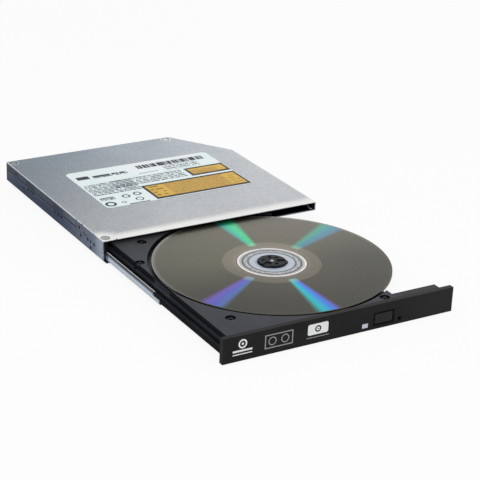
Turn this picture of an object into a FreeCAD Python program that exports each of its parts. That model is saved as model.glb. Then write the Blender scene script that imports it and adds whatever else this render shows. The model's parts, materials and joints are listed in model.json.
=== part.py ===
import FreeCAD, Part
import math, os

os.makedirs("parts", exist_ok=True)
Vector = FreeCAD.Vector

# A slim disc drive for a laptop, with its tray open and a disc on the spindle.
# Millimetres. X runs to the right seen from the front, Y to the rear, Z up.
# The origin is the centre of the chassis underside.
# Places along Y are written from the chassis front edge, and front_y is added to them.

# Chassis. The bite is how deep a rib or a boss runs into the wall it stands on.
chassis_width = 128.0
chassis_depth = 126.1
chassis_height = 12.7
sheet = 0.6
edge_bevel = 2.0
wing_thickness = 4.9
chamfer_length = 35.7
seam = 0.15
flange_drop = 3.6
left_flanges = [(33.0, 49.0), (61.0, 86.0), (97.0, 108.0)]
rear_flange = (-30.0, 12.0)
front_strip_depth = 5.5
front_strip_drop = 0.25
case_rib_depth = 0.2
case_rib_width = 2.4
case_rib_insets = (12.0, 21.6)
case_rib_span = (12.0, 92.0)
case_recess_radius = 27.0
bite = 0.1

# Holes in the left side: threaded ones for the laptop's bracket, and small locating holes
side_screw_radius = 0.8
side_screw_first = 14.6
side_screw_pitch = 40.4
side_screw_z = 6.7
locating_radius = 0.45
locating_holes = [(10.4, 6.8), (18.1, 6.9), (26.5, 5.9), (28.5, 9.7), (50.8, 7.0), (59.5, 7.0),
                  (88.3, 7.0), (91.6, 7.0), (101.3, 5.9), (112.5, 9.9), (14.6, 3.4)]
slanted_slot = (20.0, 24.0, 7.8, 9.0)
slot_width = 0.5

# Cover screws and their tabs
cover_screw_radius = 0.95
cover_head_radius = 1.8
screw_hole_gap = 0.05
cover_screw_inset = 3.1
tab_size = 6.2
rear_screw_inset = 3.2
cover_notch = (7.4, 0.8, 0.9)
cover_nicks = (24.4, 31.5)
cover_nick_size = (0.4, 1.0, 0.5)

# Side rails, their guides and the ribs of the tray that run in them
tray_side_gap = 4.2
slide_gap = 0.15
guide_web = 0.9
guide_lip = 0.8
guide_start = 0.4
guide_rear_gap = 8.1
guide_column = (2.1, 1.8)
rail_sheet = 0.5
rail_width = 1.45
rail_height = 3.5
rail_floor_gap = 1.75
rail_length = 116.0
rail_open_front = -58.2
rail_step = (6.5, 1.75)
rail_cap = 1.2
rib_reach = 2.5
rib_rear_gap = 0.2
ledge_width = 1.7
ledge_thickness = 1.1
running_gap = 0.3

# Tray. Places on it are from its left wall where they are positive, or back from its right wall
# where they are negative, and then from its front.
tray_travel = 119.6
bezel_gap = 0.3
tray_length = 125.4
tray_width = 94.0
tray_wall = 1.2
tray_floor = 1.1
deck_thickness = 1.2
deck_roof_gap = 0.9
foot_flange = (1.4, 0.8)
tray_rear_bevel = 1.3
well_gap = 2.2
well_disc_gap = 0.9
hub_hole_radius = 18.5
pocket_radius = 2.5
pocket_depth = 0.8
pocket_pin_radius = 0.55
pockets = [(14.1, 113.9), (1.6, 91.5), (11.0, 18.1), (-5.4, 5.3)]
dot_radius = 0.5
dot_depth = 0.6
dots = [(39.0, 2.6), (-17.0, 2.3), (-11.3, 2.3)]
pickup_slot = (12.5, 0.3)
wing_arm_depth = 7.6
wing_arm_end = 3.5
wing_arm_drop = 0.4
wing_arm_gap = 0.5

# Disc and hub
disc_radius = 60.0
disc_bore_radius = 7.5
disc_thickness = 1.2
disc_wing_gap = 1.1
stacking_ring = (17.2, 0.4, 0.2)
hub_from_right = 32.3
hub_from_bezel = 64.7
hub_gap = 0.1
hub_height = 1.0
hub_dome = 0.5
claw_count = 3
claw_width = 2.8
claw_gap = 0.2
claw_reach = 0.45
claw_travel = 0.6
claw_length = 4.0
claw_thickness = 0.6
claw_lift = 0.06
claw_tip = (0.25, 0.2, 0.5)
hub_bore_gap = 0.3
hub_dimple = (4.4, 0.8, 0.5)

# Front bezel and what sits in it
bezel_overhang = 0.1
bezel_rise = 0.1
bezel_lift = 0.1
bezel_thickness = 3.0
bezel_edge = 0.4
button_size = (9.9, 5.1)
button_place = (-11.3, 5.3)
button_stem = (2.0, 1.6)
button_gap = 0.25
button_travel = 0.5
button_flange = 0.7
button_flange_sheet = 0.5
button_flange_lift = 0.1
button_edge = 0.25
button_stem_gap = 0.05
wall_overcut = 0.05
lamp_size = (3.2, 2.2)
lamp_place = (-21.9, 3.1)
lamp_gap = 0.1
lamp_reach = 0.7
emergency_radius = 0.6
emergency_gap = 0.3
emergency_place = (-2.0, 3.05)
peg_insets = (14.0, 16.0)
peg_size = (2.4, 0.9)
peg_gap = 0.1
peg_drop = 0.2
peg_reach = 0.5

# Tray bottom cover and its bosses
cover_floor_gap = 0.3
tray_cover_sheet = 0.4
tray_cover_left = 0.4
tray_cover_right = 6.0
tray_cover_front = 0.3
tray_cover_window = (17.5, 62.0, 11.0)
tray_cover_motor_hole = 9.0
tray_cover_length = 95.0
cover_boss_radius = 2.0
cover_bosses = [(3.7, 3.9), (3.7, 91.9), (-9.8, 89.9), (-31.8, 4.4)]
small_screw_radius = 0.7
small_head_radius = 1.4
small_head_height = 0.5
small_screw_length = 3.6

# Traverse frame and dampers, in a frame of their own: S runs from the hub out along the sled's travel
traverse_angle = 225.0
frame_sheet = 0.8
frame_lift = 1.3
frame_outline = [(-21, -19.5), (-21, 19.5), (-14, 26), (61.5, 26), (66.5, 12), (74, 3), (74, -8),
                 (66.5, -12), (62, -19.5)]
frame_window = (14.6, 63.5, 13.3)
frame_hole = (-4.0, 4.0)
stepper_window_gap = (0.6, 0.4)
dampers = [(-16.0, -15.0), (-16.0, 15.0), (68.8, -2.9)]
damper_radius = 3.2
damper_neck = 2.2
damper_rim = 0.7
damper_bore = 1.3
damper_boss_radius = 2.6
damper_thread_radius = 0.8
damper_shoulder_gap = 0.1
damper_hole_top = 0.4
damper_screw_top = 0.5
step_head = (2.6, 0.5)

# Spindle motor
motor_base_radius = 13.5
motor_base_sheet = 0.5
motor_tail = (-20.0, -10.0, 5.0)
bearing_radius = 3.0
bearing_height = 3.1
shaft_radius = 1.0
shaft_gap = 0.05
shaft_end_gap = 0.1
press_fit_gap = 0.02
core_thickness = 0.8
core_lift = 1.1
core_radius = 10.8
core_ring_width = 2.0
core_foot_width = 1.4
core_teeth = 9
tooth_width = 1.6
shoe_thickness = 1.0
shoe_half_width = 2.6
coil_wall = 0.55
coil_gap = 0.4
rotor_radius = 12.5
rotor_wall = 0.8
rotor_gap = 0.4
magnet_wall = 0.65
magnet_lift = 0.3
turntable_radius = 16.0
turntable_thickness = 1.2
pad_thickness = 0.3
pad_ring = (11.5, 15.0)

# Pickup sled, its rods and screw, in the traverse's own frame
rod_radius = 1.0
rod_offset = 15.5
rod_lift = 1.8
rod_span = (-12.0, 63.0)
holder_size = (3.5, 4.4)
holder_overhang = 0.5
holder_rise = 0.8
lens_inner = 24.0
sled_span = (-8.5, 6.5)
sled_half_width = 13.0
sled_lift = 0.4
sled_floor_gap = 0.4
ear_span = (-9.0, 2.0)
ear_width = 4.8
ear_height = 2.8
laser_hollow = (-5.5, 4.5, 9.5, 1.6)
laser_gap = 0.6
yoke_sheet = 0.5
yoke_half_length = 3.8
yoke_half_width = 6.0
yoke_base = 0.2
yoke_post_half = 3.0
yoke_rise = 0.9
magnet_thickness = 0.7
magnet_rise = 0.8
lens_radius = 1.7
lens_curve = 3.0
lens_seat = 0.1
lens_holder_sheet = 0.45
lens_rise = 0.5
lens_disc_gap = 0.65
holder_half_length = 2.3
holder_half_width = 4.5
screw_offset = 20.5
screw_radius = 1.4
screw_lift = 1.7
stepper_radius = 2.3
stepper_length = 11.6
stepper_front = 5.6
screw_start_gap = 0.1
bracket_sheet = 0.8
bracket_rise = 2.1
bracket_span = (-2.5, 4.3)
bracket_strip = (2.4, 0.5)
screw_end = 62.5
nut_span = (-6.0, -1.0)
nut_reach = 1.9
nut_sheet = 0.5
nut_overlap = 0.2
nut_gap = 0.1

# Tray board, switch, latch and solenoid
board_thickness = 0.8
tray_board = (-28.8, -7.8, 2.3, 9.3)
tray_board_posts = [(-26.2, 7.2), (-16.8, 7.2)]
board_post_radius = 1.8
lamp_chip_size = (2.0, 1.4, 0.7)
lamp_chip_inset = 0.1
switch_size = (5.2, 3.4, 3.2)
switch_knob = (1.0, 1.0)
switch_setback = 0.3
pivot_place = (-5.5, 4.9)
pivot_radius = 0.9
pivot_boss_radius = 1.8
lever_thickness = 0.8
lever_floor_gap = 0.2
lever_angle = 13.0
lever_heel = (1.6, 0.6)
lever_arm = (3.9, 1.4)
lever_elbows = (7.4, 8.0)
lever_ring = 2.1
lever_tab = (-1.0, 0.9, 0.7)
hook_reach = 0.2
hook_nose = (1.2, 1.4, 2.2)
latch_pin_inset = 3.8
latch_pin_from_front = 14.0
latch_pin_radius = 1.0
latch_pin_height = 1.6
latch_grip_gap = 0.2
peg_offset = (-3.1, 8.5)
peg_radius = 0.55
peg_rise = 0.9
solenoid = (-25.8, -14.8, 10.3, 16.5)
solenoid_height = 4.7
solenoid_bore_depth = 7.0
plunger_radius = 1.2
plunger_z = 4.2
plunger_inside = 4.0
plunger_head = (1.6, 0.8, 0.6)
plunger_overlap = 0.4

# Ejection pusher
pusher_inset = 3.0
pusher_z = 4.6
pusher_rod_radius = 0.7
pusher_head = (2.6, 3.0, 3.2)
pusher_ribs = (36.5, 22.1)
pusher_rod_start = 35.5
pusher_rear_gap = 0.1
spring_wall = 0.5

# Main board at the back of the case. Its chips are placed from its left edge and its rear edge.
main_board_left = 8.0
main_board_right = 10.6
main_board_rear = 1.5
main_board_depth = 27.0
main_board_thickness = 1.0
main_board_lift = 1.0
main_board_boss_inset = 3.6
main_board_boss_radius = 2.4
main_board_bore_radius = 0.8
main_board_hole_radius = 0.85
board_screw_radius = 0.75
board_screw_head = (1.7, 0.7)
board_screw_tip_gap = 0.2
connector_width = 30.0
connector_depth = 6.4
connector_height = 4.4
connector_from_left = 37.0
connector_gap = 0.4
connector_walls = (1.5, 0.8)
connector_mouth = 4.2
tongue_size = (3.5, 4.4, 0.6)
tongue_inset = 0.5
contact_count = 25
contact_pitch = 0.8
contact_size = (0.4, 0.1)
contact_span = (4.0, 0.7)
chips = [(21.0, 16.1, 14.0, 14.0, 1.2), (39.0, 14.1, 9.0, 5.5, 1.0), (53.0, 13.1, 11.0, 7.5, 1.6),
         (68.0, 16.6, 5.0, 6.0, 1.4), (68.0, 7.1, 7.0, 4.0, 1.8), (9.5, 11.6, 4.0, 5.0, 1.3)]
socket_width = 24.0
socket_depth = 3.5
socket_height = 1.6
socket_mouth = 0.2
socket_gap = 0.5
socket_inset = 0.3
ribbon_inset = 1.0
ribbon_thickness = 0.12
ribbon_plugged = 1.4
ribbon_gap = 0.1
ribbon_drop = (3.0, 4.5)
ribbon_rise = (34.0, 12.0)
relay_from_rear = 7.0
relay_board = (4.0, 1.5, 0.3)

# Label on the top cover
label_x = (-42.6, 46.9)
label_y = (38.6, 94.2)
label_thickness = 0.1
label_corner = 3.0

# Leaf in the mouth of the wing
leaf_insets = (2.6, 1.5)
leaf_y = (1.0, 6.4)
leaf_sheet = 0.2
leaf_rise = 0.45

# Places worked out from the sizes above
front_y = -chassis_depth / 2
rear_y = chassis_depth / 2
left_x = -chassis_width / 2
right_x = chassis_width / 2
roof_z = chassis_height - sheet
wing_floor_z = chassis_height - wing_thickness + sheet
chamfer_y = rear_y - chamfer_length
inner_bevel = edge_bevel + math.sqrt(2) * sheet
flange_z = roof_z - flange_drop

tray_left = left_x + sheet + tray_side_gap
tray_right = tray_left + tray_width
step_x = tray_right + tray_side_gap + sheet
wing_width = right_x - step_x
well_radius = disc_radius + well_gap
tray_middle = (tray_left + tray_right) / 2
tray_front = front_y - bezel_gap - tray_travel
tray_rear = tray_front + tray_length
hub_x = tray_right - hub_from_right
tray_cover_z = sheet + cover_floor_gap
tray_bottom = tray_cover_z + tray_cover_sheet
deck_top = roof_z - deck_roof_gap
deck_bottom = deck_top - deck_thickness
disc_bottom = wing_floor_z + disc_wing_gap
disc_top = disc_bottom + disc_thickness
well_floor = disc_bottom - well_disc_gap
tray_ceiling = well_floor - tray_floor
hub_y = tray_front + hub_from_bezel

rail_z = sheet + rail_floor_gap
rail_x = left_x + sheet + guide_web + slide_gap
guide_top = rail_z + rail_height + slide_gap + guide_lip + slide_gap
ledge_z = guide_top + running_gap

frame_z = tray_bottom + frame_lift
frame_top = frame_z + frame_sheet
motor_base_top = frame_top + motor_base_sheet
pad_top = disc_bottom
turntable_top = pad_top - pad_thickness
rotor_top = turntable_top - turntable_thickness
rod_z = frame_top + rod_lift
screw_z = frame_top + screw_lift
sled_z = frame_top + sled_lift
sled_top = tray_ceiling - sled_floor_gap
lens_z = disc_bottom - lens_disc_gap - lens_rise - lens_holder_sheet
lever_z = tray_bottom + lever_floor_gap
pin_x = tray_right - latch_pin_inset
pin_y = front_y + latch_pin_from_front
pusher_x = tray_right - pusher_inset
tray_board_z = lever_z + lever_thickness + running_gap
main_board_z = sheet + main_board_lift
main_board_top = main_board_z + main_board_thickness
board_x = (left_x + main_board_left, step_x - main_board_right)
board_y = (rear_y - main_board_rear - main_board_depth, rear_y - main_board_rear)
connector_x = left_x + connector_from_left
socket_start = connector_x + connector_width / 2 + socket_gap
socket_x = (socket_start, socket_start + socket_width)
board_socket_y = board_y[0] + socket_inset
relay_y = tray_rear - relay_from_rear


def box(x, y, z):
    """A block between three pairs of limits."""
    return Part.makeBox(x[1] - x[0], y[1] - y[0], z[1] - z[0], Vector(x[0], y[0], z[0]))


def rod_up(radius, x, y, z):
    """An upright round bar between the two heights in z."""
    return Part.makeCylinder(radius, z[1] - z[0], Vector(x, y, z[0]))


def tube_up(outer, inner, x, y, z):
    """An upright tube between the two heights in z."""
    return rod_up(outer, x, y, z).cut(rod_up(inner, x, y, (z[0] - 1, z[1] + 1)))


def prism_up(points, z):
    """A flat outline in X and Y, raised between the two heights in z."""
    wire = Part.makePolygon([Vector(x, y, z[0]) for x, y in points + points[:1]])
    return Part.Face(wire).extrude(Vector(0, 0, z[1] - z[0]))


def prism_back(points, y):
    """An outline in X and Z, drawn along Y between the two places in y."""
    wire = Part.makePolygon([Vector(px, y[0], pz) for px, pz in points + points[:1]])
    return Part.Face(wire).extrude(Vector(0, y[1] - y[0], 0))


def prism_across(points, x):
    """An outline in Y and Z, drawn along X between the two places in x."""
    wire = Part.makePolygon([Vector(x[0], py, pz) for py, pz in points + points[:1]])
    return Part.Face(wire).extrude(Vector(x[1] - x[0], 0, 0))


def joined(first, rest):
    """One solid from touching or overlapping shapes."""
    return first.fuse(rest).removeSplitter()


def group(shapes):
    """Separate solids kept together in one sub-part."""
    return Part.makeCompound(shapes)


def on_right(shape):
    """The same piece on the tray's right side, mirrored in the tray's middle plane."""
    return shape.mirror(Vector(tray_middle, 0, 0), Vector(1, 0, 0))


def across(x):
    """A place across the tray, from its left wall, or back from its right wall where it is negative."""
    return tray_left + x if x >= 0 else tray_right + x


def on_tray(places):
    """Places on the tray, in the model's own X and Y."""
    return [(across(x), tray_front + y) for x, y in places]


def main_board_bosses():
    inset = main_board_boss_inset
    return [(x, y) for x in (board_x[0] + inset, board_x[1] - inset)
            for y in (board_y[0] + inset, board_y[1] - inset)]


def on_traverse(shape):
    """A shape drawn round the hub along S, turned and moved to where the hub is."""
    placed = shape.copy()
    placed.rotate(Vector(0, 0, 0), Vector(0, 0, 1), traverse_angle)
    placed.translate(Vector(hub_x, hub_y, 0))
    return placed


def traverse_point(place):
    """A point of the traverse's own frame, in the model's X and Y."""
    turn = math.radians(traverse_angle)
    along, side = place
    return (hub_x + along * math.cos(turn) - side * math.sin(turn),
            hub_y + along * math.sin(turn) + side * math.cos(turn))


# Bottom case

def case_pan():
    """The folded pan: floor, left wall and step wall up to the wing, and the rear wall."""
    low, high = edge_bevel, wing_floor_z
    outer = prism_back([(left_x, low), (left_x + low, 0), (step_x - low, 0), (step_x, low),
                        (step_x, high), (left_x, high)], (front_y, rear_y))
    rear_cut = prism_across([(rear_y - low, 0), (rear_y + 1, -1), (rear_y + 1, low + 1)], (left_x, step_x))
    lift = inner_bevel - sheet
    inner = prism_back([(left_x + sheet, lift), (left_x + lift, sheet), (step_x - lift, sheet),
                        (step_x - sheet, lift), (step_x - sheet, high), (left_x + sheet, high)],
                       (front_y, rear_y - sheet))
    inner_rear = prism_across([(rear_y - lift, sheet), (rear_y, sheet), (rear_y, lift + sheet)],
                              (left_x, step_x))
    return outer.cut(rear_cut).cut(inner.cut(inner_rear))


def case_upper_walls():
    left = box((left_x, left_x + sheet), (front_y, rear_y), (wing_floor_z, roof_z))
    for start, end in left_flanges:
        left = left.cut(box((left_x - 1, left_x + 1), (front_y + start - seam, front_y + end + seam),
                            (flange_z - seam, roof_z + 1)))
    rear = box((left_x, step_x), (rear_y - sheet, rear_y), (wing_floor_z, roof_z))
    rear = rear.cut(box((rear_flange[0] - seam, rear_flange[1] + seam), (rear_y - 1, rear_y + 1),
                        (flange_z - seam, roof_z + 1)))
    return [left, rear]


def case_wing_floor():
    edge = step_x - sheet
    outline = [(edge, front_y), (right_x, front_y), (right_x, chamfer_y), (step_x, rear_y), (edge, rear_y)]
    return prism_up(outline, (wing_floor_z - sheet, wing_floor_z))


def cover_screw_places():
    inset = cover_screw_inset
    return [(left_x + inset, front_y + sheet + inset), (left_x + inset, rear_y - inset),
            (step_x - rear_screw_inset, rear_y - inset)]


def case_tabs():
    """Tabs folded inwards under the top cover, one for each cover screw."""
    z = (roof_z - sheet, roof_z)
    return [box((left_x, left_x + tab_size), (front_y + sheet, front_y + sheet + tab_size), z),
            box((left_x, left_x + tab_size), (rear_y - tab_size, rear_y), z),
            box((step_x - tab_size, step_x - seam), (rear_y - tab_size, rear_y), z)]


def side_holes():
    places = [(side_screw_first + i * side_screw_pitch, side_screw_z, side_screw_radius) for i in range(3)]
    places += [(y, z, locating_radius) for y, z in locating_holes]
    holes = [Part.makeCylinder(r, sheet + 2, Vector(left_x - 1, front_y + y, z), Vector(1, 0, 0))
             for y, z, r in places]
    start, end, low, high = slanted_slot
    half = slot_width / 2
    slot = prism_across([(front_y + start, low - half), (front_y + start, low + half),
                         (front_y + end, high + half), (front_y + end, high - half)],
                        (left_x - 1, left_x + sheet + 1))
    return holes + [slot]


def case_ribs():
    """Shallow grooves pressed in the underside, and a ring in its middle."""
    low = (-1, case_rib_depth)
    width = case_rib_width
    start, end = (front_y + y for y in case_rib_span)
    left, right = left_x + case_rib_insets[0], step_x - case_rib_insets[1]
    grooves = [box((x, x + width), (start, end), low) for x in (left, right)]
    grooves += [box((left + 2 * width, right - width), (y, y + width), low) for y in (start, end)]
    grooves.append(tube_up(case_recess_radius, case_recess_radius - width, tray_middle, 0, low))
    return grooves


def bottom_case():
    case = joined(case_pan(), case_upper_walls() + [case_wing_floor()] + case_tabs())
    bosses = [tube_up(main_board_boss_radius, main_board_bore_radius, x, y, (sheet, main_board_z))
              for x, y in main_board_bosses()]
    case = joined(case, bosses)
    opening = connector_width / 2 + connector_gap
    cuts = [box((connector_x - opening, connector_x + opening), (rear_y - 1, rear_y + 1),
                (main_board_top - connector_gap, main_board_top + connector_height + connector_gap))]
    cuts += [rod_up(cover_screw_radius + screw_hole_gap, x, y, (roof_z - 1, roof_z + 1))
             for x, y in cover_screw_places()]
    cuts.append(rod_up(latch_pin_radius, pin_x, pin_y, (-1, sheet + 1)))
    return case.cut(cuts + side_holes() + case_ribs())


def latch_pin():
    return rod_up(latch_pin_radius, pin_x, pin_y, (0, sheet + latch_pin_height))


# Top cover

def cover_flanges():
    z = (flange_z, roof_z)
    flanges = [box((left_x, left_x + sheet), (front_y + a, front_y + b), z) for a, b in left_flanges]
    flanges.append(box((right_x - sheet, right_x), (front_y, chamfer_y), z))
    flanges.append(box(rear_flange, (rear_y - sheet, rear_y), z))
    length = math.hypot(wing_width, chamfer_length)
    inward = (-chamfer_length / length * sheet, -wing_width / length * sheet)
    slanted = prism_up([(right_x, chamfer_y), (step_x, rear_y), (step_x + inward[0], rear_y + inward[1]),
                        (right_x + inward[0], chamfer_y + inward[1])], z)
    flanges.append(slanted.common(box((step_x + seam, right_x), (front_y, rear_y), z)))
    return flanges


def top_cover():
    outline = [(left_x, front_y), (right_x, front_y), (right_x, chamfer_y), (step_x, rear_y),
               (left_x, rear_y)]
    cover = joined(prism_up(outline, (roof_z, chassis_height)), cover_flanges())
    strip = prism_across([(front_y - 1, chassis_height + 1), (front_y - 1, chassis_height - front_strip_drop),
                          (front_y, chassis_height - front_strip_drop),
                          (front_y + front_strip_depth, chassis_height),
                          (front_y + front_strip_depth, chassis_height + 1)], (left_x - 1, right_x + 1))
    start, width, depth = cover_notch
    notch = box((left_x + start, left_x + start + width), (front_y - 1, front_y + depth),
                (roof_z - 1, chassis_height + 1))
    reach, width, depth = cover_nick_size
    nicks = [box((left_x - 1, left_x + reach), (front_y + y, front_y + y + width),
                 (chassis_height - depth, chassis_height + 1)) for y in cover_nicks]
    sinks = [Part.makeCone(cover_screw_radius + screw_hole_gap, cover_head_radius + screw_hole_gap, sheet,
                           Vector(x, y, roof_z)) for x, y in cover_screw_places()]
    return cover.cut([strip, notch] + nicks + sinks)


def case_screws():
    """The screws of the top cover, and those that hold the main board."""
    screws = []
    for x, y in cover_screw_places():
        cone = Part.makeCone(cover_screw_radius, cover_head_radius, sheet, Vector(x, y, roof_z))
        top = chassis_height - screw_hole_gap - (front_strip_drop if y < 0 else 0)
        cone = cone.common(rod_up(cover_head_radius, x, y, (roof_z, top)))
        screws.append(joined(cone, [rod_up(cover_screw_radius, x, y, (roof_z - sheet, roof_z))]))
    for x, y in main_board_bosses():
        head = rod_up(board_screw_head[0], x, y, (main_board_top, main_board_top + board_screw_head[1]))
        screws.append(joined(head, [rod_up(board_screw_radius, x, y,
                                           (sheet + board_screw_tip_gap, main_board_top))]))
    return group(screws)


def top_label():
    x, y = label_x, (front_y + label_y[0], front_y + label_y[1])
    label = box(x, y, (chassis_height, chassis_height + label_thickness))
    upright = [e for e in label.Edges if abs(e.tangentAt(e.FirstParameter).z) > 0.9]
    return label.makeFillet(label_corner, upright)


def wing_leaf():
    """A thin leaf on the wing floor that rises towards the rear."""
    y0, y1 = front_y + leaf_y[0], front_y + leaf_y[1]
    z0, third = wing_floor_z, (leaf_y[1] - leaf_y[0]) / 3
    outline = [(y0, z0), (y0 + third, z0), (y0 + 2 * third, z0 + leaf_rise), (y1, z0 + leaf_rise),
               (y1, z0 + leaf_rise + leaf_sheet), (y0 + 2 * third - leaf_sheet, z0 + leaf_rise + leaf_sheet),
               (y0 + third - leaf_sheet, z0 + leaf_sheet), (y0, z0 + leaf_sheet)]
    return prism_across(outline, (right_x - leaf_insets[0], right_x - leaf_insets[1]))


# Rails and their guides

def rail_guide():
    wall, web = left_x + sheet, left_x + sheet + guide_web
    lip = rail_x + rail_width
    lift = inner_bevel - sheet
    low, high = rail_z - slide_gap, rail_z + rail_height + slide_gap
    outline = [(wall, lift), (left_x + lift, sheet), (lip, sheet), (lip, low), (web, low), (web, high),
               (lip, high), (lip, guide_top), (wall, guide_top)]
    start = front_y + guide_start
    return prism_back(outline, (start, rear_y - guide_rear_gap))


def rail_guides():
    """The left guide has a column up to the cover's tab, and the right one stays under the disc."""
    wall, start = left_x + sheet, front_y + guide_start
    column = box((wall, wall + guide_column[0]), (start, start + guide_column[1]),
                 (guide_top, roof_z - sheet - slide_gap))
    return group([joined(rail_guide(), [column]), on_right(rail_guide())])


def rail_outline():
    x0, x1, x2 = rail_x, rail_x + rail_sheet, rail_x + rail_width
    z0, z1 = rail_z, rail_z + rail_height
    return [(x0, z0), (x2, z0), (x2, z0 + rail_sheet), (x1, z0 + rail_sheet), (x1, z1 - rail_sheet),
            (x2, z1 - rail_sheet), (x2, z1), (x0, z1)]


def rail():
    """A C-shaped steel rail whose upper half starts behind its lower half."""
    front = front_y + rail_open_front
    bar = prism_back(rail_outline(), (front, front + rail_length))
    step_depth, step_z = rail_step
    return bar.cut(box((rail_x - 1, rail_x + rail_width + 1), (front - 1, front + step_depth),
                       (rail_z + step_z, rail_z + rail_height + 1)))


def rail_end_cap():
    front = front_y + rail_open_front
    cap = prism_back(rail_outline(), (front - rail_cap, front))
    return cap.cut(box((rail_x - 1, rail_x + rail_width + 1), (front - rail_cap - 1, front + 1),
                       (rail_z + rail_step[1], rail_z + rail_height + 1)))


# Tray

def tray_side():
    """What runs along the tray's left wall: the ledge, the rib in the rail and the foot."""
    y = (tray_front, tray_rear)
    foot_width, foot_height = foot_flange
    wall = tray_left + bite
    ledge = box((tray_left - ledge_width, wall), y, (ledge_z, ledge_z + ledge_thickness))
    inset = rail_sheet + slide_gap
    rib = box((tray_left - rib_reach, wall), (tray_front, tray_rear - rib_rear_gap),
              (rail_z + inset, rail_z + rail_height - inset))
    foot = box((tray_left - foot_width, wall), y, (tray_bottom, tray_bottom + foot_height))
    return [ledge, rib, foot]


def tray_shell():
    block = box((tray_left, tray_right), (tray_front, tray_rear), (tray_bottom, deck_top))
    inside = (tray_left + tray_wall, tray_right - tray_wall)
    under = box(inside, (tray_front + tray_wall, tray_rear + 1), (tray_bottom - 1, tray_ceiling))
    corners = box(inside, (tray_front + tray_wall, tray_rear - tray_wall), (tray_ceiling - bite, deck_bottom))
    corners = corners.cut(rod_up(well_radius + tray_wall, hub_x, hub_y, (tray_ceiling - 1, deck_bottom + 1)))
    return block.cut([under, corners])


def tray_bosses():
    """Bosses and ribs under the floor that carry the pieces screwed to the tray."""
    top = tray_ceiling + bite
    deep = deck_bottom + bite
    parts = [rod_up(cover_boss_radius, x, y, (tray_bottom, deep)) for x, y in on_tray(cover_bosses)]
    for place in dampers:
        x, y = traverse_point(place)
        parts.append(rod_up(damper_boss_radius, x, y, (frame_top + damper_rim, deep)))
    parts += [rod_up(board_post_radius, x, y, (tray_board_z + board_thickness, deep))
              for x, y in on_tray(tray_board_posts)]
    x, y = on_tray([pivot_place])[0]
    parts.append(rod_up(pivot_boss_radius, x, y, (lever_z + lever_thickness + running_gap, deep)))
    parts.append(rod_up(pivot_radius, x, y, (lever_z, deep)))
    half = pusher_head[0] / 2
    for place in pusher_ribs:
        parts.append(box((pusher_x - half, tray_right - tray_wall + bite),
                         (tray_rear - place, tray_rear - place + tray_wall),
                         (pusher_z - pusher_head[1] / 2, top)))
    return parts


def wing_arm_block():
    """The part of the tray that carries the bezel in front of the wing."""
    bottom = wing_floor_z + wing_arm_gap
    return box((tray_right - tray_wall / 2, right_x - wing_arm_end),
               (tray_front, tray_front + wing_arm_depth), (bottom, deck_top - wing_arm_drop))


def bezel_pegs(gap):
    half = peg_size[0] / 2 + gap
    top = deck_bottom - peg_drop + gap
    places = [left_x + peg_insets[0], tray_middle, right_x - peg_insets[1]]
    return [box((x - half, x + half), (tray_front - bite, tray_front + tray_wall + peg_reach),
                (top - peg_size[1] - 2 * gap, top)) for x in places]


def front_windows():
    """Openings in the tray's front wall for the button, the lamp and the emergency rod."""
    x, z = across(button_place[0]), button_place[1]
    half_x = button_size[0] / 2 + button_flange + button_gap
    half_z = button_size[1] / 2 + button_flange + button_gap
    y = (tray_front - 1, tray_front + tray_wall + wall_overcut)
    cuts = [box((x - half_x, x + half_x), y, (z - half_z, z + half_z))]
    x, z = across(lamp_place[0]), lamp_place[1]
    half_x, half_z = lamp_size[0] / 2 + lamp_gap, lamp_size[1] / 2 + lamp_gap
    cuts.append(box((x - half_x, x + half_x), y, (z - half_z, z + half_z)))
    x, z = across(emergency_place[0]), emergency_place[1]
    cuts.append(Part.makeCylinder(emergency_radius + emergency_gap, tray_wall + 2,
                                  Vector(x, tray_front - 1, z), Vector(0, 1, 0)))
    return cuts


def tray_screw_holes():
    cuts = []
    gap = screw_hole_gap
    deep = small_screw_length + 3 * gap
    for x, y in on_tray(cover_bosses):
        cuts.append(rod_up(small_screw_radius + gap, x, y, (tray_bottom - 1, tray_bottom + deep)))
    for place in dampers:
        x, y = traverse_point(place)
        cuts.append(rod_up(damper_thread_radius + gap, x, y, (frame_top, tray_ceiling - damper_hole_top)))
    for x, y in on_tray(tray_board_posts):
        cuts.append(rod_up(small_screw_radius + gap, x, y, (tray_board_z, tray_board_z + deep)))
    start = tray_rear - pusher_ribs[0] - 1
    length = pusher_ribs[0] - pusher_ribs[1] + tray_wall + 2
    cuts.append(Part.makeCylinder(pusher_rod_radius + shaft_gap, length,
                                  Vector(pusher_x, start, pusher_z), Vector(0, 1, 0)))
    return cuts


def tray():
    sides = tray_side()
    body = joined(tray_shell(), sides + [on_right(s) for s in sides] + tray_bosses() + [wing_arm_block()])
    well = rod_up(well_radius, hub_x, hub_y, (well_floor, deck_top + 1))
    hole = rod_up(hub_hole_radius, hub_x, hub_y, (tray_ceiling - 1, well_floor + 1))
    half, edge_gap = pickup_slot
    slot = box((0, well_radius + 1), (-half, half), (tray_ceiling - 1, well_floor + 1))
    slot = on_traverse(slot.common(rod_up(well_radius - edge_gap, 0, 0, (tray_ceiling - 2, well_floor + 2))))
    rear = prism_across([(tray_rear - tray_rear_bevel, tray_bottom), (tray_rear - tray_rear_bevel, 0),
                         (tray_rear + 1, 0), (tray_rear + 1, tray_bottom + tray_rear_bevel + 1)],
                        (tray_left - ledge_width, tray_right + ledge_width))
    cuts = [well, hole, slot, rear] + front_windows() + bezel_pegs(peg_gap) + tray_screw_holes()
    for x, y in on_tray(pockets):
        ring = rod_up(pocket_radius, x, y, (deck_top - pocket_depth, deck_top + 1))
        cuts.append(ring.cut(rod_up(pocket_pin_radius, x, y, (deck_top - 1, deck_top + 2))))
    cuts += [rod_up(dot_radius, x, y, (deck_top - dot_depth, deck_top + 1)) for x, y in on_tray(dots)]
    return body.cut(cuts)


# Bezel and what sits in it

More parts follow.
